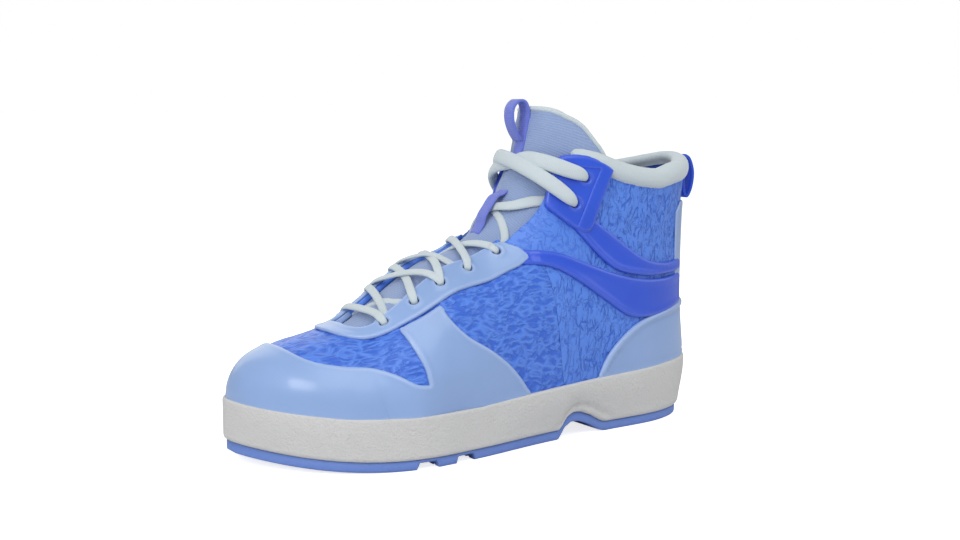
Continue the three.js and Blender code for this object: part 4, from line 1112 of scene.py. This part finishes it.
# ---------------------------------------------------------------- collar and tongue
# The roll on each side, seen from the side: x, z and half height, and at the back z and half height.
COLLAR = [
    (66.5, 161, 1.6), (62, 160.2, 4.4), (50, 156.6, 5.6), (36, 151.2, 6.2), (20, 147.3, 6.3),
    (4, 145.7, 6.3), (-13, 148.4, 6.6),
]
COLLAR_BACK = (153.4, 7.1)
COLLAR_DEPTH, COLLAR_THICKNESS = -2.6, 5.6
TUCK = 0.56  # share of the roll's height by which its inner face stops short of its outer face
PUFF_VOXEL, PUFF_FRAMES, PUFF_LIMIT = 2.0, 16, 1.2


def back_station(z):
    t = np.linspace(10, LAST_STATION, 400)
    return float(np.interp(z, last_point(t, np.pi)[:, 2], t))


def cloth_on(piece):
    """Cloth under pressure, without gravity or collisions."""
    cloth = piece.modifiers.new("cloth", "CLOTH")
    settings = cloth.settings
    settings.quality = 6
    settings.mass = 0.3
    settings.use_pressure = True
    settings.uniform_pressure_force = 4
    settings.tension_stiffness = settings.compression_stiffness = 25
    settings.bending_stiffness = 1.0
    settings.effector_weights.gravity = 0
    cloth.collision_settings.use_collision = False
    cloth.point_cache.frame_start, cloth.point_cache.frame_end = 1, PUFF_FRAMES
    return cloth


def inflate(piece):
    """Puffs a padded piece up as cloth; no point moves further than PUFF_LIMIT."""
    scene = bpy.context.scene
    bpy.context.view_layer.objects.active = piece
    remesh = piece.modifiers.new("remesh", "REMESH")
    remesh.mode = "VOXEL"
    remesh.voxel_size = PUFF_VOXEL * MM
    remesh.use_smooth_shade = True
    bpy.ops.object.modifier_apply(modifier=remesh.name)
    before = np.array([v.co[:] for v in piece.data.vertices])
    cloth = cloth_on(piece)
    for frame_number in range(1, PUFF_FRAMES + 1):
        scene.frame_set(frame_number)
    graph = bpy.context.evaluated_depsgraph_get()
    after = np.array([v.co[:] for v in piece.evaluated_get(graph).data.vertices])
    piece.modifiers.remove(cloth)
    scene.frame_set(1)
    move = after - before
    length = np.maximum(np.linalg.norm(move, axis=1, keepdims=True), 1e-9)
    move = move * np.minimum(1, PUFF_LIMIT * MM / length)
    piece.data.vertices.foreach_set("co", (before + move).ravel())
    finer = piece.modifiers.new("finer", "SUBSURF")
    finer.levels = finer.render_levels = 1
    bpy.ops.object.modifier_apply(modifier=finer.name)
    piece.data.update()


def collar_rows():
    """The roll's centre line, from the lateral front end round the back to the medial one."""
    rows = {}
    for side, _ in MIRROR:
        rows[side] = []
        for x, z, half in COLLAR:
            t, degrees = locate(x, z, side)
            rows[side].append([t, degrees, COLLAR_DEPTH, half, min(half, COLLAR_THICKNESS)])
    back = [back_station(COLLAR_BACK[0]), 180, COLLAR_DEPTH, COLLAR_BACK[1], COLLAR_THICKNESS]
    return rows[LATERAL] + [back] + [[t, degrees + 360, *rest] for t, degrees, *rest in rows[MEDIAL][::-1]]


def build_collar():
    path, up, half, thick = route(collar_rows(), 10)
    sides = 36
    verts, faces, uv = tube(path, up, half, thick, sides, 2.2)
    from_middle = verts - np.repeat(path, sides, 0)
    out = np.repeat(up, sides, 0)
    inward = -np.einsum("ij,ij->i", from_middle, out) / np.repeat(thick, sides)
    drop = np.maximum(np.repeat(half, sides) - from_middle[:, 2], 0)
    verts[:, 2] += TUCK * smooth(inward, 0.0, 0.55) * drop
    piece = make("collar_roll_pad", verts, facing_out(verts, faces), binding_knit, uv=uv)
    inflate(piece)
    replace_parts(piece, "collar_roll")


TONGUE_TOP = [
    (96, 190), (80, 186.8), (75, 185.8), (69, 183), (58.5, 177.2), (50.3, 168.5), (45, 162.5), (40, 154),
]
TONGUE_REST = [[(40, 138)], [(50, 118)], [(95, 70)], [(205, 40)], [(206, 90)], [(130, 140)]]
TONGUE_OUTLINE = outline(TONGUE_TOP, *TONGUE_REST)
tongue_side = side_view(TONGUE_OUTLINE)
TONGUE_WIDTH = np.array([(4, 20), (6, 30), (9, 40), (11, 52), (13, 64), (16, 74)], float)  # station, degrees
TONGUE_EDGE = 1.8
BINDING = (1.7, 2.6)


def tongue_area(g):
    width = np.interp(g.station, *TONGUE_WIDTH.T)
    reach = np.hypot(off_centre(g.p), 20)
    return np.minimum(tongue_side(g), np.radians(width - np.degrees(np.abs(g.angle))) * reach)


def tongue_sink(t, degrees):
    """How much deeper the tongue lies at its wings and its toe end."""
    wing = smooth(np.abs(degrees), 9, 19) * (1 - 0.5 * smooth(t, 12.6, 14.5))
    return -TONGUE_WING_DROP * wing - TONGUE_TOE_DROP * (1 - smooth(t, 4.3, 4.8))


def at_places(lattice, places):
    return sample(lattice.station, places), np.degrees(sample(lattice.angle, places))


def tongue_swell(lattice, places, distance):
    """A crowned face with slight dents."""
    y, z = sample(lattice.p, places)[:, [1, 2]].T
    return 0.9 * smooth(distance, 2, 9) + 0.35 * waves(y / 9, z / 9, 51)


def build_tongue():
    grid = Lattice((3.8, 16.0), (-0.62, 0.62), 1.5)
    verts, faces, places, _ = sheet(
        grid, tongue_area, TONGUE_FACE, TONGUE_FACE - TONGUE_THICKNESS, TONGUE_EDGE, 7, tongue_swell,
        lambda lattice, at: tongue_sink(*at_places(lattice, at)), True,
    )
    run = run_of(last_point(grid.t, 0.0))
    t, degrees = at_places(grid, places)
    values = {
        "girth_run": padded(np.interp(t, grid.t, run), len(verts)),
        "girth_across": padded(sample(grid.p, places)[:, 1], len(verts)),
    }
    piece = make("tongue_pad", verts, faces, tongue_mesh, None, values)
    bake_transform(piece)
    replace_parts(piece, "tongue")
    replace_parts(piece, "tongue_flap")


def tongue_edge_station(degrees):
    """Station at which a ray up the tongue at one angle leaves its side outline."""
    t = np.linspace(12, 16, 300)
    p = last_point(t, np.radians(degrees))
    field = inside(TONGUE_OUTLINE, p[:, 0], p[:, 2])
    last_in = np.nonzero(field > 0)[0]
    return t[last_in[-1]] if len(last_in) else None


def build_tongue_binding():
    rows = []
    for degrees in np.linspace(-68, 68, 35):
        t = tongue_edge_station(degrees)
        if t is not None and np.interp(t, *TONGUE_WIDTH.T) > abs(degrees):
            depth = TONGUE_FACE - TONGUE_THICKNESS / 2 - 0.3 + float(tongue_sink(t, degrees))
            rows.append([t + 0.02, degrees, depth, *BINDING])
    verts, faces, uv = tube(*route(rows, 4), 18, 2.2)
    piece = make("tongue_binding", verts, facing_out(verts, faces), binding_knit, None, uv=uv)
    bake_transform(piece)


# ---------------------------------------------------------------- laces
# Half width and half thickness of the lace, and its heights.
THIN = (2.3, 0.95)
MIDDLING = (2.8, 1.2)
THICK = (4.4, 2.1)
IN_HOLE, IN_PLATE, FLARED = (1.9, 1.1), (2.0, 1.5), (3.7, 2.0)
OVER = 2.8
OVER_PLATE = 4.8
UNDER = -2.8
EDGE_ANGLE = 20  # the throat's edge

# Each strand: name, eyelet numbers and sides at its two ends, whether each end lies over the eyestay,
# and its height over the tongue's middle.
STRANDS = [
    ("bar", (0, LATERAL, True), (0, MEDIAL, True), 0.4),
    ("2_from_medial", (0, MEDIAL, False), (1, LATERAL, False), -2.6),
    ("2_from_lateral", (0, LATERAL, False), (1, MEDIAL, True), -1.2),
    ("3_from_lateral", (1, LATERAL, True), (2, MEDIAL, True), -1.1),
    ("3_from_medial", (1, MEDIAL, True), (2, LATERAL, True), 0.9),
    ("4_from_lateral", (2, LATERAL, True), (3, MEDIAL, True), -1.1),
    ("4_from_medial", (2, MEDIAL, True), (3, LATERAL, False), 0.7),
    ("5_from_medial", (3, MEDIAL, False), (4, LATERAL, True), -1.2),
    ("5_from_lateral", (3, LATERAL, True), (4, MEDIAL, True), 0.8),
]

# Each end: its side, the name of that side and the other, and its two heights over the tongue's middle.
LACE_ENDS = [(LATERAL, "lateral", "medial", -2.4, 2.3), (MEDIAL, "medial", "lateral", -0.3, -1.4)]


def lace_end(eyelet, side, over, toward_station, toward_angle):
    """Rows from the middle of an eyelet to the throat's edge, on the way to another place."""
    station, degrees = EYELETS[eyelet]
    share = lambda angle: station + (toward_station - station) * (degrees - angle) / (degrees + toward_angle)
    height = OVER if over else UNDER
    rows = [(station, side * degrees, UNDER, *IN_HOLE)]
    if over:
        rows.append((station, side * degrees, 1.2, *IN_HOLE))
    rows.append((share(degrees - 3.5), side * (degrees - 3.5), height, *THIN))
    rows.append((share(EDGE_ANGLE), side * EDGE_ANGLE, height + (0.1 if over else -0.4), *THIN))
    return rows


def crossing(first, second, height):
    """Rows from one eyelet across the tongue to another."""
    (e0, side0, over0), (e1, side1, over1) = first, second
    (s0, a0), (s1, a1) = EYELETS[e0], EYELETS[e1]
    middle = s0 + (s1 - s0) * a0 / (a0 + a1)

    def quarter(rows, side):
        station, _, offset = rows[-1][:3]
        return ((station + middle) / 2, side * 10, (offset + height) / 2 - 0.5, *THIN)

    start = lace_end(e0, side0, over0, s1, a1)
    end = lace_end(e1, side1, over1, s0, a0)
    return start + [quarter(start, side0), (middle, 0, height, *THIN), quarter(end, side1)] + end[::-1]


def through_keeper(side, height):
    """From the last eyelet, up through the keeper and under the opposite ankle plate."""
    station, degrees = EYELETS[-1]
    low = PLATE_EYELETS[0]
    return [
        (station, side * degrees, UNDER, *IN_HOLE),
        (8.75, side * 21, UNDER - 0.6, *THIN),
        (9.1, side * 12, height - 0.6, *THIN),
        (9.5, 0, height, *THIN),
        (9.95, -side * 11, height - 0.2, *MIDDLING),
        (10.9, -side * 20, UNDER - 0.3, 3.2, 1.3),
        (low[0] - 0.2, -side * 30, UNDER - 0.6, *THIN),
        (low[0], -side * low[1], UNDER, *IN_HOLE),
    ]


def top_crossing(side, height):
    """From the lower eyelet of one plate over the tongue to the upper eyelet of the other."""
    low, high = PLATE_EYELETS
    return [
        (low[0], side * low[1], UNDER, *IN_HOLE),
        (low[0], side * low[1], 2.2, *IN_PLATE),
        (low[0], side * (low[1] - 3.5), OVER_PLATE, *FLARED),
        (low[0] + 0.05, side * 26, OVER_PLATE + 0.2, *THICK),
        (low[0] + 0.15, side * 17, OVER_PLATE - 0.6, *THICK),
        (12.2, side * 9, (OVER_PLATE + height) / 2 - 0.6, *THICK),
        (12.42, 0, height, *THICK),
        (12.65, -side * 9, (OVER_PLATE + height) / 2 - 0.6, *THICK),
        (high[0] - 0.22, -side * 17, OVER_PLATE - 0.6, *THICK),
        (high[0] - 0.1, -side * 26, OVER_PLATE + 0.2, *THICK),
        (high[0], -side * (high[1] - 3.5), OVER_PLATE, *FLARED),
        (high[0], -side * high[1], 2.2, *IN_PLATE),
        (high[0], -side * high[1], UNDER - 1, *IN_HOLE),
        (high[0] - 0.25, -side * (high[1] + 9), UNDER - 3.9, *IN_HOLE),
    ]


def build_lace():
    for name, first, second, height in STRANDS:
        strand(f"lace_{name}", "lace", crossing(first, second, height), lace_weave, 16, 2.8)
    for side, word, other, low, high in LACE_ENDS:
        strand(f"lace_keeper_{word}", "lace", through_keeper(side, low), lace_weave, 16, 2.8, 8)
        rows = top_crossing(side, high)
        strand(f"lace_top_{word}", "lace", rows, lace_weave, 20, 2.3, 8)
        station, degrees, offset = rows[-1][:3]
        tip = [
            (station - 0.23 * k, degrees - side * (1.5 + 3.7 * k), offset, 1.3 - 0.05 * k, 1.1)
            for k in range(3)
        ]
        strand(f"aglet_tip_{other}", f"aglet_{other}", tip, tip_film, 14, 2.2)


# ---------------------------------------------------------------- loops of webbing
KEEPER = [(8.5, -3.2), (8.75, -1.4), (9.1, 1.9), (10.0, 1.9), (10.4, -1.2), (10.66, -3.0)]  # station, height
PULL_LOOP = [
    (84.6, 159.6), (82.7, 165), (81, 170.5), (79.2, 178), (78.8, 185.5), (80.8, 190.6), (85.2, 191.5),
    (89.2, 187.5), (89.8, 181), (87.4, 174), (83.8, 168.8),
]
HEEL_TAB = [
    (-35.8, 156), (-39.4, 157.8), (-43.8, 155), (-46.4, 147), (-45.1, 138), (-41.8, 132.4), (-39.2, 135.5),
    (-38.7, 143), (-38.7, 149),
]


SELVEDGE, SELVEDGE_SPREAD = 0.86, 0.07  # the thicker edge: its place across the half width, and its spread


def webbing(name, body, points, half, thick, material):
    """A band in the shoe's middle plane, with thicker edges. Its body and its CAD node share a name."""
    flat = spline(points, 8)
    path = np.stack([flat[:, 0], centre_y(flat[:, 0], flat[:, 1]), flat[:, 1]], 1)
    along = np.gradient(flat, axis=0)
    up = unit(np.stack([-along[:, 1], np.zeros(len(flat)), along[:, 0]], 1))
    sides = 28
    verts, faces, uv = tube(path, up, half, thick, sides, 7)
    edge = np.abs(uv[:, 1]) / half
    middle = np.repeat(path, sides, axis=0)
    thicker = (1 + 0.5 * np.exp(-((edge - SELVEDGE) / SELVEDGE_SPREAD) ** 2)) ** 0.35
    verts = middle + (verts - middle) * thicker[:, None]
    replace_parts(make(name, verts, facing_out(verts, faces), material, body, uv=uv), body)


def build_webbing():
    keeper = [(station, 0, height, 4.6, 0.6) for station, height in KEEPER]
    strand("lace_keeper_band", "lace_keeper", keeper, loop_weave, 24, 6)
    webbing("tongue_pull_webbing", "tongue_pull_loop", PULL_LOOP, 4.3, 0.65, loop_weave)
    webbing("heel_pull_webbing", "heel_pull_tab", HEEL_TAB, 7.0, 0.9, tab_weave)


# ---------------------------------------------------------------- sole unit
SOLE_OUTLINE = [
    (-33, 0), (-22, 23), (4, 36), (46, 39), (92, 43), (140, 51), (178, 53.5), (212, 43), (238, 22),
    (256, -8), (256, -28), (238, -43), (196, -49.5), (144, -43), (92, -34), (46, -31), (4, -32), (-23, -22),
]
ARCH = [(46, 0), (50, 1), (58, 5.5), (66, 8.6), (72, 9), (77, 6.5), (80, 2.5), (82, 0)]
FLEX_GROOVES = [(145, 157, 3.6), (169, 181, 3.6)]
RING_POINTS = 360


def closed_spline(points, count):
    points = np.array(points, float)
    t = np.arange(count) * len(points) / count
    i = t.astype(int)
    f = (t - i)[:, None]
    return catmull_rom(*(points[(i + k) % len(points)] for k in (-1, 0, 1, 2)), f)


def evened(ring):
    """The same closed curve with points at even steps."""
    loop = np.vstack([ring, ring[:1]])
    length = run_of(loop)
    at = np.linspace(0, length[-1], len(ring), endpoint=False)
    return np.stack([np.interp(at, length, loop[:, k]) for k in range(2)], 1)


SOLE_RING = evened(closed_spline(SOLE_OUTLINE, RING_POINTS * 4)[::4])


def ring_outward():
    """Directions square to the sole's outline, pointing out."""
    along = np.roll(SOLE_RING, -1, axis=0) - np.roll(SOLE_RING, 1, axis=0)
    out = unit(np.stack([along[:, 1], -along[:, 0]], 1))
    centre = SOLE_RING.mean(0)
    return out if ((SOLE_RING - centre) * out).sum() > 0 else -out


RING_OUT = ring_outward()


def ground_z(x):
    """Height of the outsole's underside: flat, but for the arch and the toe spring."""
    curl = TOE_SPRING * np.clip((x - SPRING_START_X) / (TOE_X - SPRING_START_X), 0, 1) ** 2
    arch = np.interp(x, *np.array(ARCH, float).T)
    return np.where((x > ARCH[0][0]) & (x < ARCH[-1][0]), arch, curl)


def level(z):
    return lambda x: np.full(len(x), float(z))


def sole_level(inset, height_at):
    """One ring of the sole, moved inward, with its height from height_at(x)."""
    flat = SOLE_RING - RING_OUT * np.asarray(inset, float).reshape(-1, 1)
    return np.column_stack([flat, height_at(flat[:, 0])])


def ring_solid(rings):
    """Rings joined in order, closed below and above by strips across the shoe."""
    n = len(rings[0])
    verts = np.vstack(rings)
    faces = []
    for k in range(len(rings) - 1):
        j = np.arange(n)
        nj = (j + 1) % n
        faces += np.stack([k * n + j, k * n + nj, (k + 1) * n + nj, (k + 1) * n + j], 1).tolist()
    for first in (0, (len(rings) - 1) * n):
        for j in range(n // 2):
            corners = list(dict.fromkeys([j, j + 1, (n - j - 1) % n, (n - j) % n]))
            if len(corners) > 2:
                face = [first + corner for corner in corners]
                faces.append(face if first else face[::-1])
    return verts, facing_out(verts, faces)


def upper_reach():
    """How far the upper stands out past the sole's outline at the rim, for each point of the ring."""
    t, a = np.meshgrid(np.linspace(0, 14, 480), np.linspace(-np.pi, np.pi, 600), indexing="ij")
    p = last_point(t, a)
    cloud = p[np.abs(p[..., 2] - rim_z(p[..., 0])) < 0.8][:, :2]
    reach = np.zeros(len(SOLE_RING))
    for k, (point, out) in enumerate(zip(SOLE_RING, RING_OUT)):
        d = cloud - point
        outward = d @ out
        near = (np.abs(d @ np.array([-out[1], out[0]])) < 2.5) & (np.abs(outward) < 12)
        reach[k] = outward[near].max() if near.any() else 0
    for _ in range(6):
        reach = (np.roll(reach, 1) + 2 * reach + np.roll(reach, -1)) / 4
    return reach


LEDGE = 2.3  # the midsole's rim stands this far out from the upper's skin
CORNER_SHARE, CORNER = 0.1, 2.0  # the wall's rounded lower corner: share of its height, and depth
LIP_SHARE, LIP = 0.07, 0.9  # the rolled lip at its top
FOOT_BED_Z = 26.5


def quarter_round(share):
    """0 to 1 along a quarter circle, as its share goes from 0 to 1."""
    return 1 - math.sqrt(max(1 - max(share, 0) ** 2, 0))


def build_midsole():
    """A wall that leans out to meet the upper, with a rolled lip, and a floor for the upper to stand on."""
    bottom = lambda x: ground_z(x) + TREAD + 0.2
    flare = np.clip(upper_reach() + LEDGE, 0, 7)
    rings = [sole_level(10, bottom)]
    turn = np.linspace(0, 1, 7) * np.pi / 2
    low, high = CORNER_SHARE * (1 - np.cos(turn)), 1 - LIP_SHARE * (1 - np.sin(turn))
    for v in np.concatenate([low, np.linspace(0.13, 0.9, 16), high]):
        lip = LIP * quarter_round((v - 1 + LIP_SHARE) / LIP_SHARE)
        corner = CORNER * quarter_round(1 - v / CORNER_SHARE)
        inset = lip + corner - flare * smooth(v, -0.1, 0.85) + crescent(SOLE_RING[:, 0], v)
        rings.append(sole_level(inset, lambda x: bottom(x) + (rim_z(x) - bottom(x)) * v))
    rings.append(sole_level(4.5 - flare, lambda x: rim_z(x) - 0.3))
    rings.append(sole_level(9, lambda x: rim_z(x) - 4.5))
    rings.append(sole_level(11, level(FOOT_BED_Z)))
    verts, faces = ring_solid(rings)
    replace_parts(make("midsole_foam", verts, faces, foam_pebble), "midsole")


ARCH_X = 64  # the middle of the arch


def crescent(x, v):
    """A crescent pressed into the wall above the arch."""
    rise = 0.26 - 0.2 * ((x - ARCH_X) / 24) ** 2
    within = np.clip(1 - np.abs((x - ARCH_X) / 26) ** 3, 0, 1)
    return 1.5 * within * np.exp(-((v - rise) / 0.07) ** 2)


def sole_sides(ring, xs):
    """The lowest and highest y of a ring at each x."""
    low, high = [], []
    following = np.roll(ring, -1, axis=0)
    for x in xs:
        cut = (ring[:, 0] > x) != (following[:, 0] > x)
        a, b = ring[cut], following[cut]
        y = a[:, 1] + (b[:, 1] - a[:, 1]) * (x - a[:, 0]) / (b[:, 0] - a[:, 0])
        low.append(y.min())
        high.append(y.max())
    return np.array(low)[:, None], np.array(high)[:, None]


TREAD_PITCH, TREAD_DEPTH, ZIGZAG = 6.5, 1.3, 7
HEEL_PAD = 13  # radius of the plain pad under the heel


def tread_depth(x, y, gap_to_edge):
    """Depth of the tread's herringbone and of the flex grooves at a place on the sole's underside."""
    zigzag = np.abs(((y + 100) % (2 * ZIGZAG)) - ZIGZAG)
    groove = np.abs(((x + zigzag) / TREAD_PITCH) % 1 - 0.5)
    depth = TREAD_DEPTH * smooth(groove, 0.34, 0.42)
    depth = depth * smooth(gap_to_edge, 4.0, 5.0) * smooth(np.abs(x - ARCH_X), 20, 22)
    depth = depth * smooth(np.hypot(x, y), HEEL_PAD, HEEL_PAD + 1)
    for x0, x1, groove_depth in FLEX_GROOVES:
        within = smooth(x, x0 - 0.3, x0 + 0.9) * (1 - smooth(x, x1 - 0.9, x1 + 0.3))
        depth = np.maximum(depth, groove_depth * within)
    return depth


OUTSOLE_INSET = 1.7  # inside the midsole's outline
OUTSOLE_COLUMNS = 90
UNDER_EDGE = 1.4  # radius of the outsole's lower edge


def outsole_grid():
    """x and y of the outsole's points, closer together near its edge, and their distance from the edge."""
    ring = SOLE_RING - RING_OUT * OUTSOLE_INSET
    x0, x1 = ring[:, 0].min() + 0.03, ring[:, 0].max() - 0.03
    ends = 14 * (1 - np.cos(np.linspace(0, np.pi, 30)[:15]))
    xs = np.unique(np.concatenate([x0 + ends, np.arange(x0 + 14, x1 - 14, 0.9), x1 - ends]))
    low, high = sole_sides(ring, xs)
    even = np.linspace(0, 1, OUTSOLE_COLUMNS)
    y = low + (high - low) * ((1 - np.cos(np.pi * even)) / 2 * 0.35 + even * 0.65)
    x = np.repeat(xs[:, None], OUTSOLE_COLUMNS, 1)
    return x, y, np.minimum.reduce([y - low, high - y, x - x0, x1 - x])


def build_outsole():
    x, y, gap = outsole_grid()
    inside_edge = np.clip(UNDER_EDGE - gap, 0, UNDER_EDGE)
    rounding = UNDER_EDGE - np.sqrt(np.maximum(UNDER_EDGE**2 - inside_edge**2, 0))
    under = ground_z(x) + tread_depth(x, y, gap) + rounding
    over = ground_z(x) + TREAD
    verts = np.concatenate([np.stack([x, y, z], -1).reshape(-1, 3) for z in (under, over)])
    ids = np.arange(x.size).reshape(x.shape)
    a, b, c, d = (block.ravel() for block in (ids[:-1, :-1], ids[:-1, 1:], ids[1:, 1:], ids[1:, :-1]))
    faces = np.stack([a, b, c, d], 1).tolist() + (np.stack([d, c, b, a], 1) + x.size).tolist()
    rim = [*ids[:, 0], *ids[-1, 1:], *ids[-2::-1, -1], *ids[0, -2:0:-1]]
    for p, q in zip(rim, rim[1:] + rim[:1]):
        faces.append([int(k) for k in (p, q, q + x.size, p + x.size)])
    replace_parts(make("outsole_rubber", verts, facing_out(verts, faces), rubber_pebble), "outsole")


# Inset from the sole's outline, and height.
SOCKLINER = [(13, 29.2), (11, 30), (10.6, 32), (12, 33.6), (16, 33.2)]


def build_sockliner():
    verts, faces = ring_solid([sole_level(inset, level(z)) for inset, z in SOCKLINER])
    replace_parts(make("sockliner_pad", verts, faces, lining_knit), "sockliner")


def finish_hidden_parts():
    """Materials for the CAD solids that stay, all of them out of sight inside the shoe."""
    hidden = {
        "shank_plate": shank_plastic, "strobel_board": board_fibre, "toe_puff": board_fibre,
        "heel_stiffener": board_fibre, "collar_foam": soft_foam,
    }
    for name, material in hidden.items():
        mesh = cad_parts[name].data
        mesh.materials.clear()
        mesh.materials.append(material)


# ---------------------------------------------------------------- stage
SKY_LIGHT = 0.42
FLOOR_GLOW = 0.78  # only what the camera sees of it, so that it stays nearly white
FLOOR_HALF = 30.0
AIM = (0.1, 0, 0.08)  # what the lamps point at


def camera_ray(tree):
    """1 for what the camera sees directly, else 0."""
    return node(tree, "ShaderNodeLightPath").outputs["Is Camera Ray"]


def build_floor():
    floor_mesh = bpy.data.meshes.new("floor")
    s = FLOOR_HALF
    floor_mesh.from_pydata([(-s, -s, 0), (s, -s, 0), (s, s, 0), (-s, s, 0)], [], [(0, 1, 2, 3)])
    floor_material, tree, bsdf = shader("pale_floor", (0.8, 0.8, 0.81), 0.9)
    bsdf.inputs["Emission Color"].default_value = (1, 1, 1, 1)
    feed(times(camera_ray(tree), FLOOR_GLOW), bsdf, "Emission Strength")
    floor_mesh.materials.append(floor_material)
    floor = bpy.data.objects.new("floor", floor_mesh)
    bpy.context.scene.collection.objects.link(floor)


def build_sky():
    world = bpy.data.worlds.new("studio")
    world.use_nodes = True
    tree = world.node_tree
    inputs = {"Value": camera_ray(tree), "To Min": SKY_LIGHT, "To Max": 1.0}
    strength = node(tree, "ShaderNodeMapRange", inputs).outputs[0]
    background = tree.nodes["Background"]
    background.inputs["Color"].default_value = (1, 1, 1, 1)
    feed(strength, background, "Strength")
    bpy.context.scene.world = world
    bpy.context.scene.view_settings.view_transform = "Standard"


def area_light(name, position, size, watts):
    light = bpy.data.lights.new(name, "AREA")
    light.shape = "RECTANGLE"
    light.size, light.size_y = size
    light.energy = watts
    lamp = bpy.data.objects.new(name, light)
    lamp.location = position
    lamp.rotation_euler = (Vector(AIM) - lamp.location).to_track_quat("-Z", "Y").to_euler()
    bpy.context.scene.collection.objects.link(lamp)


CAMERA_TURN, CAMERA_TILT = math.radians(33.33), math.radians(7.04)
CAMERA_DISTANCE = 764.3
CAMERA_TARGET = Vector((109.1, 0, 95.1))


def build_camera():
    data = bpy.data.cameras.new("camera")
    data.lens = 50
    data.sensor_width = 36
    camera = bpy.data.objects.new("camera", data)
    level_part = math.cos(CAMERA_TILT)
    back = Vector((
        math.sin(CAMERA_TURN) * level_part, math.cos(CAMERA_TURN) * level_part, math.sin(CAMERA_TILT),
    ))
    camera.location = (CAMERA_TARGET + back * CAMERA_DISTANCE) * MM
    camera.rotation_euler = (-back).to_track_quat("-Z", "Y").to_euler()
    bpy.context.scene.collection.objects.link(camera)
    bpy.context.scene.camera = camera


build_midsole()
build_outsole()
build_sockliner()
build_skin()
build_throat_facing()
build_overlays()
build_lining()
build_collar()
build_tongue()
build_tongue_binding()
build_lace()
build_webbing()
finish_hidden_parts()
build_floor()
build_sky()
area_light("key", (0.35, 0.55, 0.85), (0.8, 0.8), 4)
area_light("front", (1.05, 0.38, 0.6), (0.4, 0.4), 3.3)
area_light("rear", (-0.7, 0.4, 0.5), (0.7, 0.7), 1.4)
area_light("inner_side", (0.05, -0.8, 0.5), (0.8, 0.8), 2.0)
build_camera()
